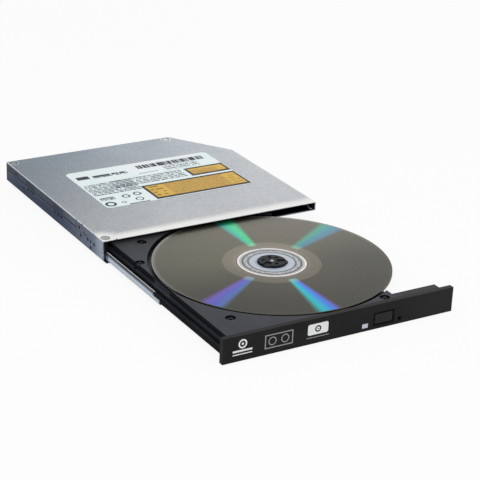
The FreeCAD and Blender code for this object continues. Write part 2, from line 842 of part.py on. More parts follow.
def front_bezel():
    x = (left_x - bezel_overhang, right_x + bezel_overhang)
    y = (tray_front - bezel_thickness, tray_front)
    plate = box(x, y, (bezel_lift, chassis_height + bezel_lift + bezel_rise))
    front_edges = [e for e in plate.Edges
                   if all(abs(v.Y - y[0]) < 1e-6 for v in e.Vertexes)]
    plate = plate.makeFillet(bezel_edge, front_edges)
    openings = []
    for place, (width, height), gap in ((button_place, button_size, button_gap),
                                        (lamp_place, lamp_size, screw_hole_gap)):
        middle = across(place[0])
        openings.append(box((middle - width / 2 - gap, middle + width / 2 + gap), (y[0] - 1, y[1] + 1),
                            (place[1] - height / 2 - gap, place[1] + height / 2 + gap)))
    start = Vector(across(emergency_place[0]), y[0] - 1, emergency_place[1])
    openings.append(Part.makeCylinder(emergency_radius, bezel_thickness + 2, start, Vector(0, 1, 0)))
    return joined(plate.cut(openings), bezel_pegs(0))


def eject_button():
    x, z = across(button_place[0]), button_place[1]
    width, height = button_size
    face = tray_front - bezel_thickness
    back = tray_front + button_flange_lift
    plate = box((x - width / 2, x + width / 2), (face, back), (z - height / 2, z + height / 2))
    edges = [e for e in plate.Edges if all(abs(v.Y - face) < 1e-6 for v in e.Vertexes)]
    plate = plate.makeFillet(button_edge, edges)
    flange = box((x - width / 2 - button_flange, x + width / 2 + button_flange),
                 (back, back + button_flange_sheet),
                 (z - height / 2 - button_flange, z + height / 2 + button_flange))
    stem_end = tray_front + tray_board[2] + switch_setback - button_travel - button_stem_gap
    half_x, half_z = button_stem[0] / 2, button_stem[1] / 2
    stem = box((x - half_x, x + half_x), (back, stem_end), (z - half_z, z + half_z))
    return joined(plate, [flange, stem])


def light_pipe():
    x, z = across(lamp_place[0]), lamp_place[1]
    width, height = lamp_size
    return box((x - width / 2, x + width / 2),
               (tray_front - bezel_thickness, tray_front + tray_wall + lamp_reach),
               (z - height / 2, z + height / 2))


# Tray bottom cover

def tray_bottom_cover():
    plate = box((tray_left - foot_flange[0] + tray_cover_left, tray_right - tray_cover_right),
                (tray_front + tray_cover_front, tray_front + tray_cover_length), (tray_cover_z, tray_bottom))
    start, end, half = tray_cover_window
    window = on_traverse(box((start, end), (-half, half), (tray_cover_z - 1, tray_bottom + 1)))
    motor_hole = rod_up(tray_cover_motor_hole, hub_x, hub_y, (tray_cover_z - 1, tray_bottom + 1))
    sinks = [Part.makeCone(small_head_radius + screw_hole_gap, small_screw_radius + screw_hole_gap,
                           tray_cover_sheet, Vector(x, y, tray_cover_z)) for x, y in on_tray(cover_bosses)]
    return plate.cut([window, motor_hole] + sinks)


def tray_screws():
    """The screws of the tray's bottom cover, and those that hold the tray board."""
    screws = []
    for x, y in on_tray(cover_bosses):
        cone = Part.makeCone(small_head_radius, small_screw_radius, tray_cover_sheet,
                             Vector(x, y, tray_cover_z))
        screws.append(joined(cone, [rod_up(small_screw_radius, x, y,
                                           (tray_bottom, tray_bottom + small_screw_length))]))
    for x, y in on_tray(tray_board_posts):
        head = rod_up(small_head_radius, x, y, (tray_board_z - small_head_height, tray_board_z))
        screws.append(joined(head, [rod_up(small_screw_radius, x, y,
                                           (tray_board_z, tray_board_z + small_screw_length))]))
    return group(screws)


# Traverse

def traverse_frame():
    plate = prism_up(frame_outline, (frame_z, frame_top))
    z = (frame_z - 1, frame_top + 1)
    start, end, half = frame_window
    cuts = [box((start, end), (-half, half), z)]
    behind, beside = stepper_window_gap
    half = stepper_radius + beside
    cuts.append(box((stepper_front - stepper_length - behind, stepper_front),
                    (screw_offset - half, screw_offset + half), z))
    cuts += [rod_up(damper_neck + screw_hole_gap, s, side, z) for s, side in dampers]
    cuts.append(rod_up(frame_hole[1], frame_hole[0], 0, z))
    return on_traverse(plate.cut(cuts))


def damper_grommets():
    rings = []
    for s, side in dampers:
        body = joined(rod_up(damper_radius, s, side, (frame_z - damper_rim, frame_z)),
                      [rod_up(damper_neck, s, side, (frame_z, frame_top)),
                       rod_up(damper_radius, s, side, (frame_top, frame_top + damper_rim))])
        rings.append(body.cut(rod_up(damper_bore, s, side, (frame_z - 2, frame_top + 2))))
    return on_traverse(group(rings))


def damper_screws():
    screws = []
    low = frame_z - damper_rim
    for s, side in dampers:
        head = rod_up(step_head[0], s, side, (low - step_head[1], low))
        shoulder = rod_up(damper_bore - damper_shoulder_gap, s, side, (low, frame_top + damper_rim))
        thread = rod_up(damper_thread_radius, s, side,
                        (frame_top + damper_rim, tray_ceiling - damper_screw_top))
        screws.append(joined(head, [shoulder, thread]))
    return on_traverse(group(screws))


def motor_base():
    plate = rod_up(motor_base_radius, 0, 0, (frame_top, motor_base_top))
    start, end, half = motor_tail
    tail = box((start, end), (-half, half), (frame_top, motor_base_top))
    return on_traverse(joined(plate, [tail]))


def motor_bearing():
    return tube_up(bearing_radius, shaft_radius + shaft_gap, hub_x, hub_y,
                   (motor_base_top, motor_base_top + bearing_height))


def stator_arm(index, width, reach, z):
    arm = box((bearing_radius + 1, reach), (-width / 2, width / 2), z)
    arm.rotate(Vector(0, 0, 0), Vector(0, 0, 1), index * 360 / core_teeth)
    arm.translate(Vector(hub_x, hub_y, 0))
    return arm


def core_heights():
    low = motor_base_top + core_lift
    return (low, low + core_thickness)


def stator_core():
    z = core_heights()
    bore = bearing_radius + press_fit_gap
    middle = tube_up(bearing_radius + core_ring_width, bore, hub_x, hub_y, z)
    reach = core_radius - shoe_thickness / 2
    arms = [stator_arm(i, tooth_width, reach, z) for i in range(core_teeth)]
    shoes = []
    for i in range(core_teeth):
        shoe = tube_up(core_radius, core_radius - shoe_thickness, 0, 0, z)
        shoe = shoe.common(box((0, core_radius + 1), (-shoe_half_width, shoe_half_width),
                               (z[0] - 1, z[1] + 1)))
        shoe.rotate(Vector(0, 0, 0), Vector(0, 0, 1), i * 360 / core_teeth)
        shoe.translate(Vector(hub_x, hub_y, 0))
        shoes.append(shoe)
    foot = tube_up(bearing_radius + core_foot_width, bore, hub_x, hub_y, (motor_base_top, z[0]))
    return joined(middle, arms + shoes + [foot])


def stator_coils():
    z0, z1 = core_heights()
    coils = []
    reach = core_radius - shoe_thickness - coil_gap
    hub = rod_up(bearing_radius + core_ring_width + coil_gap, hub_x, hub_y, (z0 - 2, z1 + 2))
    for i in range(core_teeth):
        outer = stator_arm(i, tooth_width + 2 * coil_wall, reach, (z0 - coil_wall, z1 + coil_wall))
        inner = stator_arm(i, tooth_width, core_radius, (z0, z1))
        coils.append(outer.cut([inner, hub]))
    return group(coils)


def spindle_rotor():
    z = (motor_base_top + rotor_gap, rotor_top)
    cup = rod_up(rotor_radius, hub_x, hub_y, z)
    hollow = rod_up(rotor_radius - rotor_wall, hub_x, hub_y, (z[0] - 1, rotor_top - rotor_wall))
    return cup.cut([hollow, rod_up(shaft_radius, hub_x, hub_y, (z[0], rotor_top + 1))])


def rotor_magnet():
    outer = rotor_radius - rotor_wall
    z = (motor_base_top + rotor_gap + magnet_lift, rotor_top - rotor_wall)
    return tube_up(outer, outer - magnet_wall, hub_x, hub_y, z)


def spindle_shaft():
    return rod_up(shaft_radius, hub_x, hub_y,
                  (motor_base_top + shaft_end_gap, disc_top + hub_height - shaft_end_gap))


def turntable():
    plate = tube_up(turntable_radius, shaft_radius, hub_x, hub_y, (rotor_top, turntable_top))
    seat = tube_up(disc_bore_radius - hub_gap, shaft_radius, hub_x, hub_y, (turntable_top, pad_top))
    return joined(plate, [seat])


def turntable_pad():
    return tube_up(pad_ring[1], pad_ring[0], hub_x, hub_y, (turntable_top, pad_top))


def claw_angles():
    return [90 + i * 360 / claw_count for i in range(claw_count)]


def at_hub(shape, angle):
    placed = shape.copy()
    placed.rotate(Vector(0, 0, 0), Vector(0, 0, 1), angle)
    placed.translate(Vector(hub_x, hub_y, 0))
    return placed


def hub_cap():
    radius = disc_bore_radius - hub_gap
    top = disc_top + hub_height
    cap = Part.makeCylinder(radius, top - pad_top, Vector(hub_x, hub_y, pad_top))
    top_edges = [e for e in cap.Edges if len(e.Vertexes) == 1 and abs(e.Vertexes[0].Z - top) < 1e-6]
    cap = cap.makeChamfer(hub_dome, top_edges)
    half = claw_width / 2 + claw_gap
    inner = radius - claw_length - claw_travel - claw_gap
    slot = box((inner, radius + 1), (-half, half), (disc_top, top + 1))
    centre = rod_up(shaft_radius + hub_bore_gap, hub_x, hub_y, (pad_top - 1, top + 1))
    place, dimple_radius, depth = hub_dimple
    dimple = rod_up(dimple_radius, place, 0, (top - depth, top + 1))
    dimples = [at_hub(dimple, a + 180 / claw_count) for a in claw_angles()]
    return cap.cut([centre] + [at_hub(slot, a) for a in claw_angles()] + dimples)


def hub_claw(angle):
    """A sprung jaw that reaches over the inner edge of the disc."""
    tip = disc_bore_radius + claw_reach
    z0 = disc_top + claw_lift
    inner = disc_bore_radius - hub_gap - claw_length
    under, lip, slope = claw_tip
    outline = [(inner, z0), (tip - under, z0), (tip, z0 + lip), (tip - slope, z0 + claw_thickness),
               (inner, z0 + claw_thickness)]
    claw = prism_back(outline, (-claw_width / 2, claw_width / 2))
    return at_hub(claw, angle)


def disc():
    plate = tube_up(disc_radius, disc_bore_radius, hub_x, hub_y, (disc_bottom, disc_top))
    middle, width, height = stacking_ring
    ring = tube_up(middle + width / 2, middle - width / 2, hub_x, hub_y,
                   (disc_bottom - height, disc_bottom))
    return joined(plate, [ring])


# Sled

def guide_rods():
    start, end = rod_span
    return on_traverse(group([Part.makeCylinder(rod_radius, end - start, Vector(start, side, rod_z),
                                                Vector(1, 0, 0)) for side in (-rod_offset, rod_offset)]))


def rod_holders():
    length, width = holder_size
    blocks = []
    for start in (rod_span[0] - holder_overhang, rod_span[1] - length + holder_overhang):
        for side in (-rod_offset, rod_offset):
            block = box((start, start + length), (side - width / 2, side + width / 2),
                        (frame_top, rod_z + rod_radius + holder_rise))
            blocks.append(block.cut(Part.makeCylinder(rod_radius + press_fit_gap, length + 2,
                                                      Vector(start - 1, side, rod_z), Vector(1, 0, 0))))
    return on_traverse(group(blocks))


def pickup_body():
    s = lens_inner
    core = box((s + sled_span[0], s + sled_span[1]), (-sled_half_width, sled_half_width), (sled_z, sled_top))
    start, end, half, depth = laser_hollow
    hollow = box((s + start, s + end), (-half, half), (sled_z - 1, sled_z + depth))
    ear_start, ear_end = s + ear_span[0], s + ear_span[1]
    ear_z = (rod_z - ear_height / 2, rod_z + ear_height / 2 + bite)
    parts, bores = [], []
    for side in (-1, 1):
        limits = sorted((side * (sled_half_width - bite), side * (rod_offset + ear_width / 2)))
        parts.append(box((ear_start, ear_end), limits, ear_z))
        bores.append(Part.makeCylinder(rod_radius + shaft_gap, ear_end - ear_start + 2,
                                       Vector(ear_start - 1, side * rod_offset, rod_z), Vector(1, 0, 0)))
    return on_traverse(joined(core, parts).cut(bores + [hollow]))


def pickup_laser():
    """Laser and detector unit, a block set in the sled's hollow from below."""
    s, gap = lens_inner, laser_gap
    start, end, half, depth = laser_hollow
    return on_traverse(box((s + start + gap, s + end - gap), (gap - half, half - gap),
                           (sled_z + gap / 2, sled_z + depth)))


def actuator_yoke():
    s, half, width = lens_inner, yoke_half_length, yoke_half_width
    base = box((s - half, s + half), (-width, width), (sled_top, sled_top + yoke_base))
    side, z = (-yoke_post_half, yoke_post_half), (sled_top, lens_z + yoke_rise)
    posts = [box((s + a, s + a + yoke_sheet), side, z) for a in (-half, half - yoke_sheet)]
    return on_traverse(joined(base, posts))


def actuator_magnets():
    s, inner = lens_inner, yoke_half_length - yoke_sheet
    side = (-yoke_post_half, yoke_post_half)
    z = (sled_top + yoke_base, lens_z + magnet_rise)
    return on_traverse(group([box((s - inner, s - inner + magnet_thickness), side, z),
                              box((s + inner - magnet_thickness, s + inner), side, z)]))


def lens_holder():
    s, z0 = lens_inner, lens_z
    block = box((s - holder_half_length, s + holder_half_length), (-holder_half_width, holder_half_width),
                (z0, z0 + lens_holder_sheet))
    return on_traverse(block.cut(rod_up(lens_radius - lens_seat, s, 0, (z0 - 1, z0 + 1))))


def objective_lens():
    s, z0 = lens_inner, lens_z + lens_holder_sheet
    lens = Part.makeSphere(lens_curve, Vector(s, 0, z0 + lens_rise - lens_curve))
    return on_traverse(lens.common(rod_up(lens_radius, s, 0, (z0, z0 + lens_rise))))


def lead_screw():
    start = stepper_front + screw_start_gap
    return on_traverse(Part.makeCylinder(screw_radius, screw_end - start,
                                         Vector(start, screw_offset, screw_z), Vector(1, 0, 0)))


def sled_stepper():
    return on_traverse(Part.makeCylinder(stepper_radius, stepper_length,
                                         Vector(stepper_front - stepper_length, screw_offset, screw_z),
                                         Vector(1, 0, 0)))


def screw_bracket():
    near, far = (screw_offset + reach for reach in bracket_span)
    plates = [box((start, start + bracket_sheet), (near, far), (frame_top, screw_z + bracket_rise))
              for start in (stepper_front, screw_end - 2 * bracket_sheet)]
    strip_start, strip_height = bracket_strip
    strip = box((stepper_front, screw_end - bracket_sheet), (screw_offset + strip_start, far),
                (frame_top, frame_top + strip_height))
    bore = Part.makeCylinder(screw_radius + shaft_gap, screw_end,
                             Vector(stepper_front - 1, screw_offset, screw_z), Vector(1, 0, 0))
    return on_traverse(joined(strip, plates).cut(bore))


def half_nut():
    """The plastic follower on the sled's ear that rides on the lead screw."""
    s = lens_inner
    ear_top = rod_z + ear_height / 2 + bite
    inner, outer = rod_offset + ear_width / 2, screw_offset + nut_reach
    span = (s + nut_span[0], s + nut_span[1])
    plate = box(span, (rod_offset - 1, outer), (ear_top, ear_top + nut_sheet))
    saddle = box(span, (inner, outer), (screw_z, ear_top + nut_overlap))
    bore = Part.makeCylinder(screw_radius + nut_gap, span[1] - span[0] + 2,
                             Vector(span[0] - 1, screw_offset, screw_z), Vector(1, 0, 0))
    return on_traverse(joined(plate, [saddle]).cut(bore))


# Tray board, switch and latch

def tray_circuit_board():
    x = (across(tray_board[0]), across(tray_board[1]))
    y = (tray_front + tray_board[2], tray_front + tray_board[3])
    z = (tray_board_z, tray_board_z + board_thickness)
    holes = [rod_up(small_screw_radius + screw_hole_gap, px, py, (z[0] - 1, z[1] + 1))
             for px, py in on_tray(tray_board_posts)]
    return box(x, y, z).cut(holes)


def lamp_chip():
    width, depth, height = lamp_chip_size
    x = across(lamp_place[0])
    y = tray_front + tray_board[2] + lamp_chip_inset
    z = tray_board_z + board_thickness
    return box((x - width / 2, x + width / 2), (y, y + depth), (z, z + height))


def eject_switch():
    x, z = across(button_place[0]), button_place[1]
    width, depth, height = switch_size
    base = tray_board_z + board_thickness
    front = tray_front + tray_board[2] + switch_setback + switch_knob[1]
    case = box((x - width / 2, x + width / 2), (front, front + depth), (base, base + height))
    knob = Part.makeCylinder(switch_knob[0], switch_knob[1] + bite, Vector(x, front - switch_knob[1], z),
                             Vector(0, 1, 0))
    return joined(case, [knob])


def latch_lever():
    """The hook lever, drawn with its hook on the latch pin and then swung free of it."""
    px, py = on_tray([pivot_place])[0]
    face = pin_y - tray_travel + latch_pin_radius + latch_grip_gap
    z = (lever_z, lever_z + lever_thickness)
    tip = pin_x + latch_pin_radius + hook_reach
    heel_x, heel_y = lever_heel
    outer, inner = (px - reach for reach in lever_arm)
    outer_elbow, inner_elbow = (py + reach for reach in lever_elbows)
    arm = prism_up([(px - heel_x, py - heel_y), (px + heel_x, py + heel_y), (inner, inner_elbow),
                    (inner, face), (outer, face), (outer, outer_elbow)], z)
    nose_y, nose_x, back = hook_nose
    hook = prism_up([(outer, face), (tip, face), (tip, face + nose_y), (tip - nose_x, face + back),
                     (outer, face + back)], z)
    ring = rod_up(lever_ring, px, py, z)
    middle = across(emergency_place[0])
    tab_x = (middle - emergency_radius, middle + emergency_radius)
    tab_y = (py + lever_tab[0], py + lever_tab[1])
    tab = [box((px, tab_x[1]), tab_y, z), box(tab_x, tab_y, (z[0], emergency_place[1] + lever_tab[2]))]
    peg = rod_up(peg_radius, px + peg_offset[0], py + peg_offset[1], (z[0], plunger_z + peg_rise))
    lever = joined(arm, [hook, ring, peg] + tab)
    lever = lever.cut(rod_up(pivot_radius + shaft_gap, px, py, (z[0] - 1, z[1] + 1)))
    lever.rotate(Vector(px, py, 0), Vector(0, 0, 1), lever_angle)
    return lever


def peg_at(angle):
    """Where the lever's peg is when the lever is turned back by an angle in degrees."""
    px, py = on_tray([pivot_place])[0]
    turn = math.radians(angle)
    dx, dy = peg_offset
    return (px + dx * math.cos(turn) - dy * math.sin(turn), py + dx * math.sin(turn) + dy * math.cos(turn))


def solenoid_body():
    x0, x1 = across(solenoid[0]), across(solenoid[1])
    y = (tray_front + solenoid[2], tray_front + solenoid[3])
    case = box((x0, x1), y, (tray_ceiling - solenoid_height, tray_ceiling))
    bore = Part.makeCylinder(plunger_radius + shaft_gap, solenoid_bore_depth + 1,
                             Vector(x1 - solenoid_bore_depth, sum(y) / 2, plunger_z), Vector(1, 0, 0))
    return case.cut(bore)


def solenoid_plunger():
    free, held = peg_at(lever_angle), peg_at(0)
    y = tray_front + (solenoid[2] + solenoid[3]) / 2
    half, end_wall, half_height = plunger_head
    rod_start, rod_end = across(solenoid[1]) - plunger_inside, free[0] - half + plunger_overlap
    rod = Part.makeCylinder(plunger_radius, rod_end - rod_start, Vector(rod_start, y, plunger_z),
                            Vector(1, 0, 0))
    wide = peg_radius + running_gap
    head = box((free[0] - half, free[0] + half), (free[1] - wide - end_wall, held[1] + wide + end_wall),
               (plunger_z - half_height, plunger_z + half_height))
    slot = box((free[0] - wide, free[0] + wide), (free[1] - wide, held[1] + wide),
               (plunger_z - 2, plunger_z + 2))
    return joined(rod, [head]).cut(slot)


# Ejection pusher

def ejection_pusher():
    width, height, depth = pusher_head
    rear = tray_rear - pusher_rear_gap
    start = tray_rear - pusher_rod_start
    head = box((pusher_x - width / 2, pusher_x + width / 2), (rear - depth, rear),
               (pusher_z - height / 2, pusher_z + height / 2))
    rod = Part.makeCylinder(pusher_rod_radius, rear - depth - start, Vector(pusher_x, start, pusher_z),
                            Vector(0, 1, 0))
    return joined(head, [rod])


def ejection_spring():
    start = tray_rear - pusher_ribs[1] + tray_wall
    length = tray_rear - pusher_rear_gap - pusher_head[2] - start
    inner = pusher_rod_radius + 2 * shaft_gap
    outer = Part.makeCylinder(inner + spring_wall, length, Vector(pusher_x, start, pusher_z), Vector(0, 1, 0))
    return outer.cut(Part.makeCylinder(inner, length + 2, Vector(pusher_x, start - 1, pusher_z),
                                       Vector(0, 1, 0)))


# Main board

def main_circuit_board():
    holes = [rod_up(main_board_hole_radius, px, py, (main_board_z - 1, main_board_top + 1))
             for px, py in main_board_bosses()]
    return box(board_x, board_y, (main_board_z, main_board_top)).cut(holes)


def board_chips():
    blocks = []
    for x, y, width, depth, height in chips:
        left, rear = board_x[0] + x - width / 2, board_y[1] - y + depth / 2
        blocks.append(box((left, left + width), (rear - depth, rear),
                          (main_board_top, main_board_top + height)))
    return group(blocks)


def tongue_heights():
    middle = main_board_top + connector_height / 2
    return (middle - tongue_size[2] / 2, middle + tongue_size[2] / 2)


def rear_connector():
    half = connector_width / 2
    top = main_board_top + connector_height
    shell = box((connector_x - half, connector_x + half), (rear_y - connector_depth, rear_y),
                (main_board_top, top))
    side, level = connector_walls
    mouth = box((connector_x - half + side, connector_x + half - side),
                (rear_y - connector_mouth, rear_y + 1), (main_board_top + level, top - level))
    inset, length = tongue_size[:2]
    tongue = box((connector_x - half + inset, connector_x + half - inset),
                 (rear_y - length, rear_y - tongue_inset), tongue_heights())
    return joined(shell.cut(mouth), [tongue])


def connector_contacts():
    low, high = tongue_heights()
    start = connector_x - (contact_count - 1) * contact_pitch / 2
    width, thickness = contact_size
    y = (rear_y - contact_span[0], rear_y - contact_span[1])
    strips = []
    for i in range(contact_count):
        x = start + i * contact_pitch
        for z in ((low - thickness, low), (high, high + thickness)):
            strips.append(box((x - width / 2, x + width / 2), y, z))
    return group(strips)


def socket_at(y0, z):
    """A flat-cable socket, and the cut for its mouth."""
    block = box(socket_x, (y0, y0 + socket_depth), z)
    middle = (z[0] + z[1]) / 2
    mouth_x = (socket_x[0] + ribbon_inset - ribbon_gap, socket_x[1] - ribbon_inset + ribbon_gap)
    half = socket_mouth / 2
    return block, mouth_x, (middle - half, middle + half)


def ribbon_socket():
    y0 = board_socket_y
    block, mouth_x, mouth_z = socket_at(y0, (main_board_top, main_board_top + socket_height))
    return block.cut(box(mouth_x, (y0 - 1, y0 + ribbon_plugged + ribbon_gap), mouth_z))


def relay_socket():
    """A small board under the tray's floor, with the socket that the flat cable plugs into."""
    y0 = relay_y
    ahead, behind, thickness = relay_board
    base_z = tray_ceiling - thickness
    base = box(socket_x, (y0 - ahead, y0 + socket_depth + behind), (base_z, tray_ceiling))
    block, mouth_x, mouth_z = socket_at(y0, (base_z - socket_height, base_z))
    end = y0 + socket_depth
    return joined(base, [block]).cut(box(mouth_x, (end - ribbon_plugged - ribbon_gap, end + 1), mouth_z))


def ribbon_cable():
    """The flat cable as it lies with the tray open: flat on the floor, then up to the tray."""
    half = ribbon_thickness / 2
    plug_y = board_socket_y + ribbon_plugged
    plug_z = main_board_top + socket_height / 2
    end_y = relay_y + socket_depth - ribbon_plugged
    relay_z = tray_ceiling - relay_board[2] - socket_height / 2
    rise_start, rise_end = ribbon_rise
    level, down = ribbon_drop
    path = [(plug_y, plug_z), (plug_y - level, plug_z), (plug_y - down, sheet + half),
            (front_y + rise_start, sheet + half), (front_y + rise_end, relay_z), (end_y, relay_z)]
    upper = [(y, z + half) for y, z in path]
    lower = [(y, z - half) for y, z in path]
    return prism_across(upper + lower[::-1], (socket_x[0] + ribbon_inset, socket_x[1] - ribbon_inset))


parts = {
    "bottom_case": bottom_case(),
    "top_cover": top_cover(),
    "case_screws": case_screws(),
    "top_label": top_label(),
    "wing_leaf": wing_leaf(),
    "latch_pin": latch_pin(),
    "rail_guides": rail_guides(),
    "rail_left": rail(),
    "rail_right": on_right(rail()),
    "rail_end_cap_left": rail_end_cap(),
    "rail_end_cap_right": on_right(rail_end_cap()),
    "main_circuit_board": main_circuit_board(),
    "board_chips": board_chips(),
    "rear_connector": rear_connector(),
    "connector_contacts": connector_contacts(),
    "ribbon_socket": ribbon_socket(),
    "ribbon_cable": ribbon_cable(),
    "tray": tray(),
    "front_bezel": front_bezel(),
    "eject_button": eject_button(),
    "light_pipe": light_pipe(),
    "tray_bottom_cover": tray_bottom_cover(),
    "tray_screws": tray_screws(),
    "relay_socket": relay_socket(),
    "traverse_frame": traverse_frame(),
    "damper_grommets": damper_grommets(),
    "damper_screws": damper_screws(),
    "motor_base": motor_base(),
    "motor_bearing": motor_bearing(),
    "stator_core": stator_core(),
    "stator_coils": stator_coils(),
    "spindle_rotor": spindle_rotor(),
    "rotor_magnet": rotor_magnet(),
    "spindle_shaft": spindle_shaft(),
    "turntable": turntable(),
    "turntable_pad": turntable_pad(),
    "hub_cap": hub_cap(),
    "disc": disc(),
    "guide_rods": guide_rods(),
    "rod_holders": rod_holders(),
    "pickup_body": pickup_body(),
    "pickup_laser": pickup_laser(),
    "actuator_yoke": actuator_yoke(),
    "actuator_magnets": actuator_magnets(),
    "lens_holder": lens_holder(),
    "objective_lens": objective_lens(),
    "lead_screw": lead_screw(),
    "sled_stepper": sled_stepper(),
    "screw_bracket": screw_bracket(),
    "half_nut": half_nut(),
    "tray_circuit_board": group([tray_circuit_board(), lamp_chip()]),
    "eject_switch": eject_switch(),
    "latch_lever": latch_lever(),
    "solenoid_body": solenoid_body(),
    "solenoid_plunger": solenoid_plunger(),
    "ejection_pusher": ejection_pusher(),
    "ejection_spring": ejection_spring(),
}
for number, angle in enumerate(claw_angles(), 1):
    parts[f"hub_claw_{number}"] = hub_claw(angle)

for name, shape in parts.items():
    shape.exportStep(f"parts/{name}.step")
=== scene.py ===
import json
import math

import bmesh
import bpy
from mathutils import Euler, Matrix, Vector


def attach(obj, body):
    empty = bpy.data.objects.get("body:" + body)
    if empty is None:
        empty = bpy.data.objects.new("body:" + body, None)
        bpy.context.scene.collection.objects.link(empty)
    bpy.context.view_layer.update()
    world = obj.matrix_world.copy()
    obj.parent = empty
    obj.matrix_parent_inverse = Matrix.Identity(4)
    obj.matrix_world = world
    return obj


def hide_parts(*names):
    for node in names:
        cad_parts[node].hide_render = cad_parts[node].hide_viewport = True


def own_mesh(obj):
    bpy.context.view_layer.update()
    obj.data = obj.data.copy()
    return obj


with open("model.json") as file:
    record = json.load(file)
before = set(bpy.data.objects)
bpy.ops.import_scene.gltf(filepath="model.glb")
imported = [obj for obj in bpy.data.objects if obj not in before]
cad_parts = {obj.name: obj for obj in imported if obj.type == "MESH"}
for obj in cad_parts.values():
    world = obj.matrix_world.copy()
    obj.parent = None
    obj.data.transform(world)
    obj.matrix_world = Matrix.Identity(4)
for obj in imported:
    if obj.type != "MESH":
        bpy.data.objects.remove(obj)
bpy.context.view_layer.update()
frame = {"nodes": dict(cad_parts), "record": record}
nodes = frame["nodes"]
slots = {part["node"]: part["material_slot"] for part in frame["record"]["subparts"]}

MM = 0.001

# Places on the part at rest, in millimetres of the frame

HUB = (2.5, -118.25)
CASE_FRONT = -63.05
COVER_TOP = 12.7
BEZEL_FACE = -185.95
TRAY_DECK = 11.2
TRAY_MIDDLE = -12.2


# Tools for node materials

ROW_SHIFT = 7.3
DASH_LEVEL = 0.42


def toned(color, share):
    return tuple(min(1.0, c * share) for c in color)


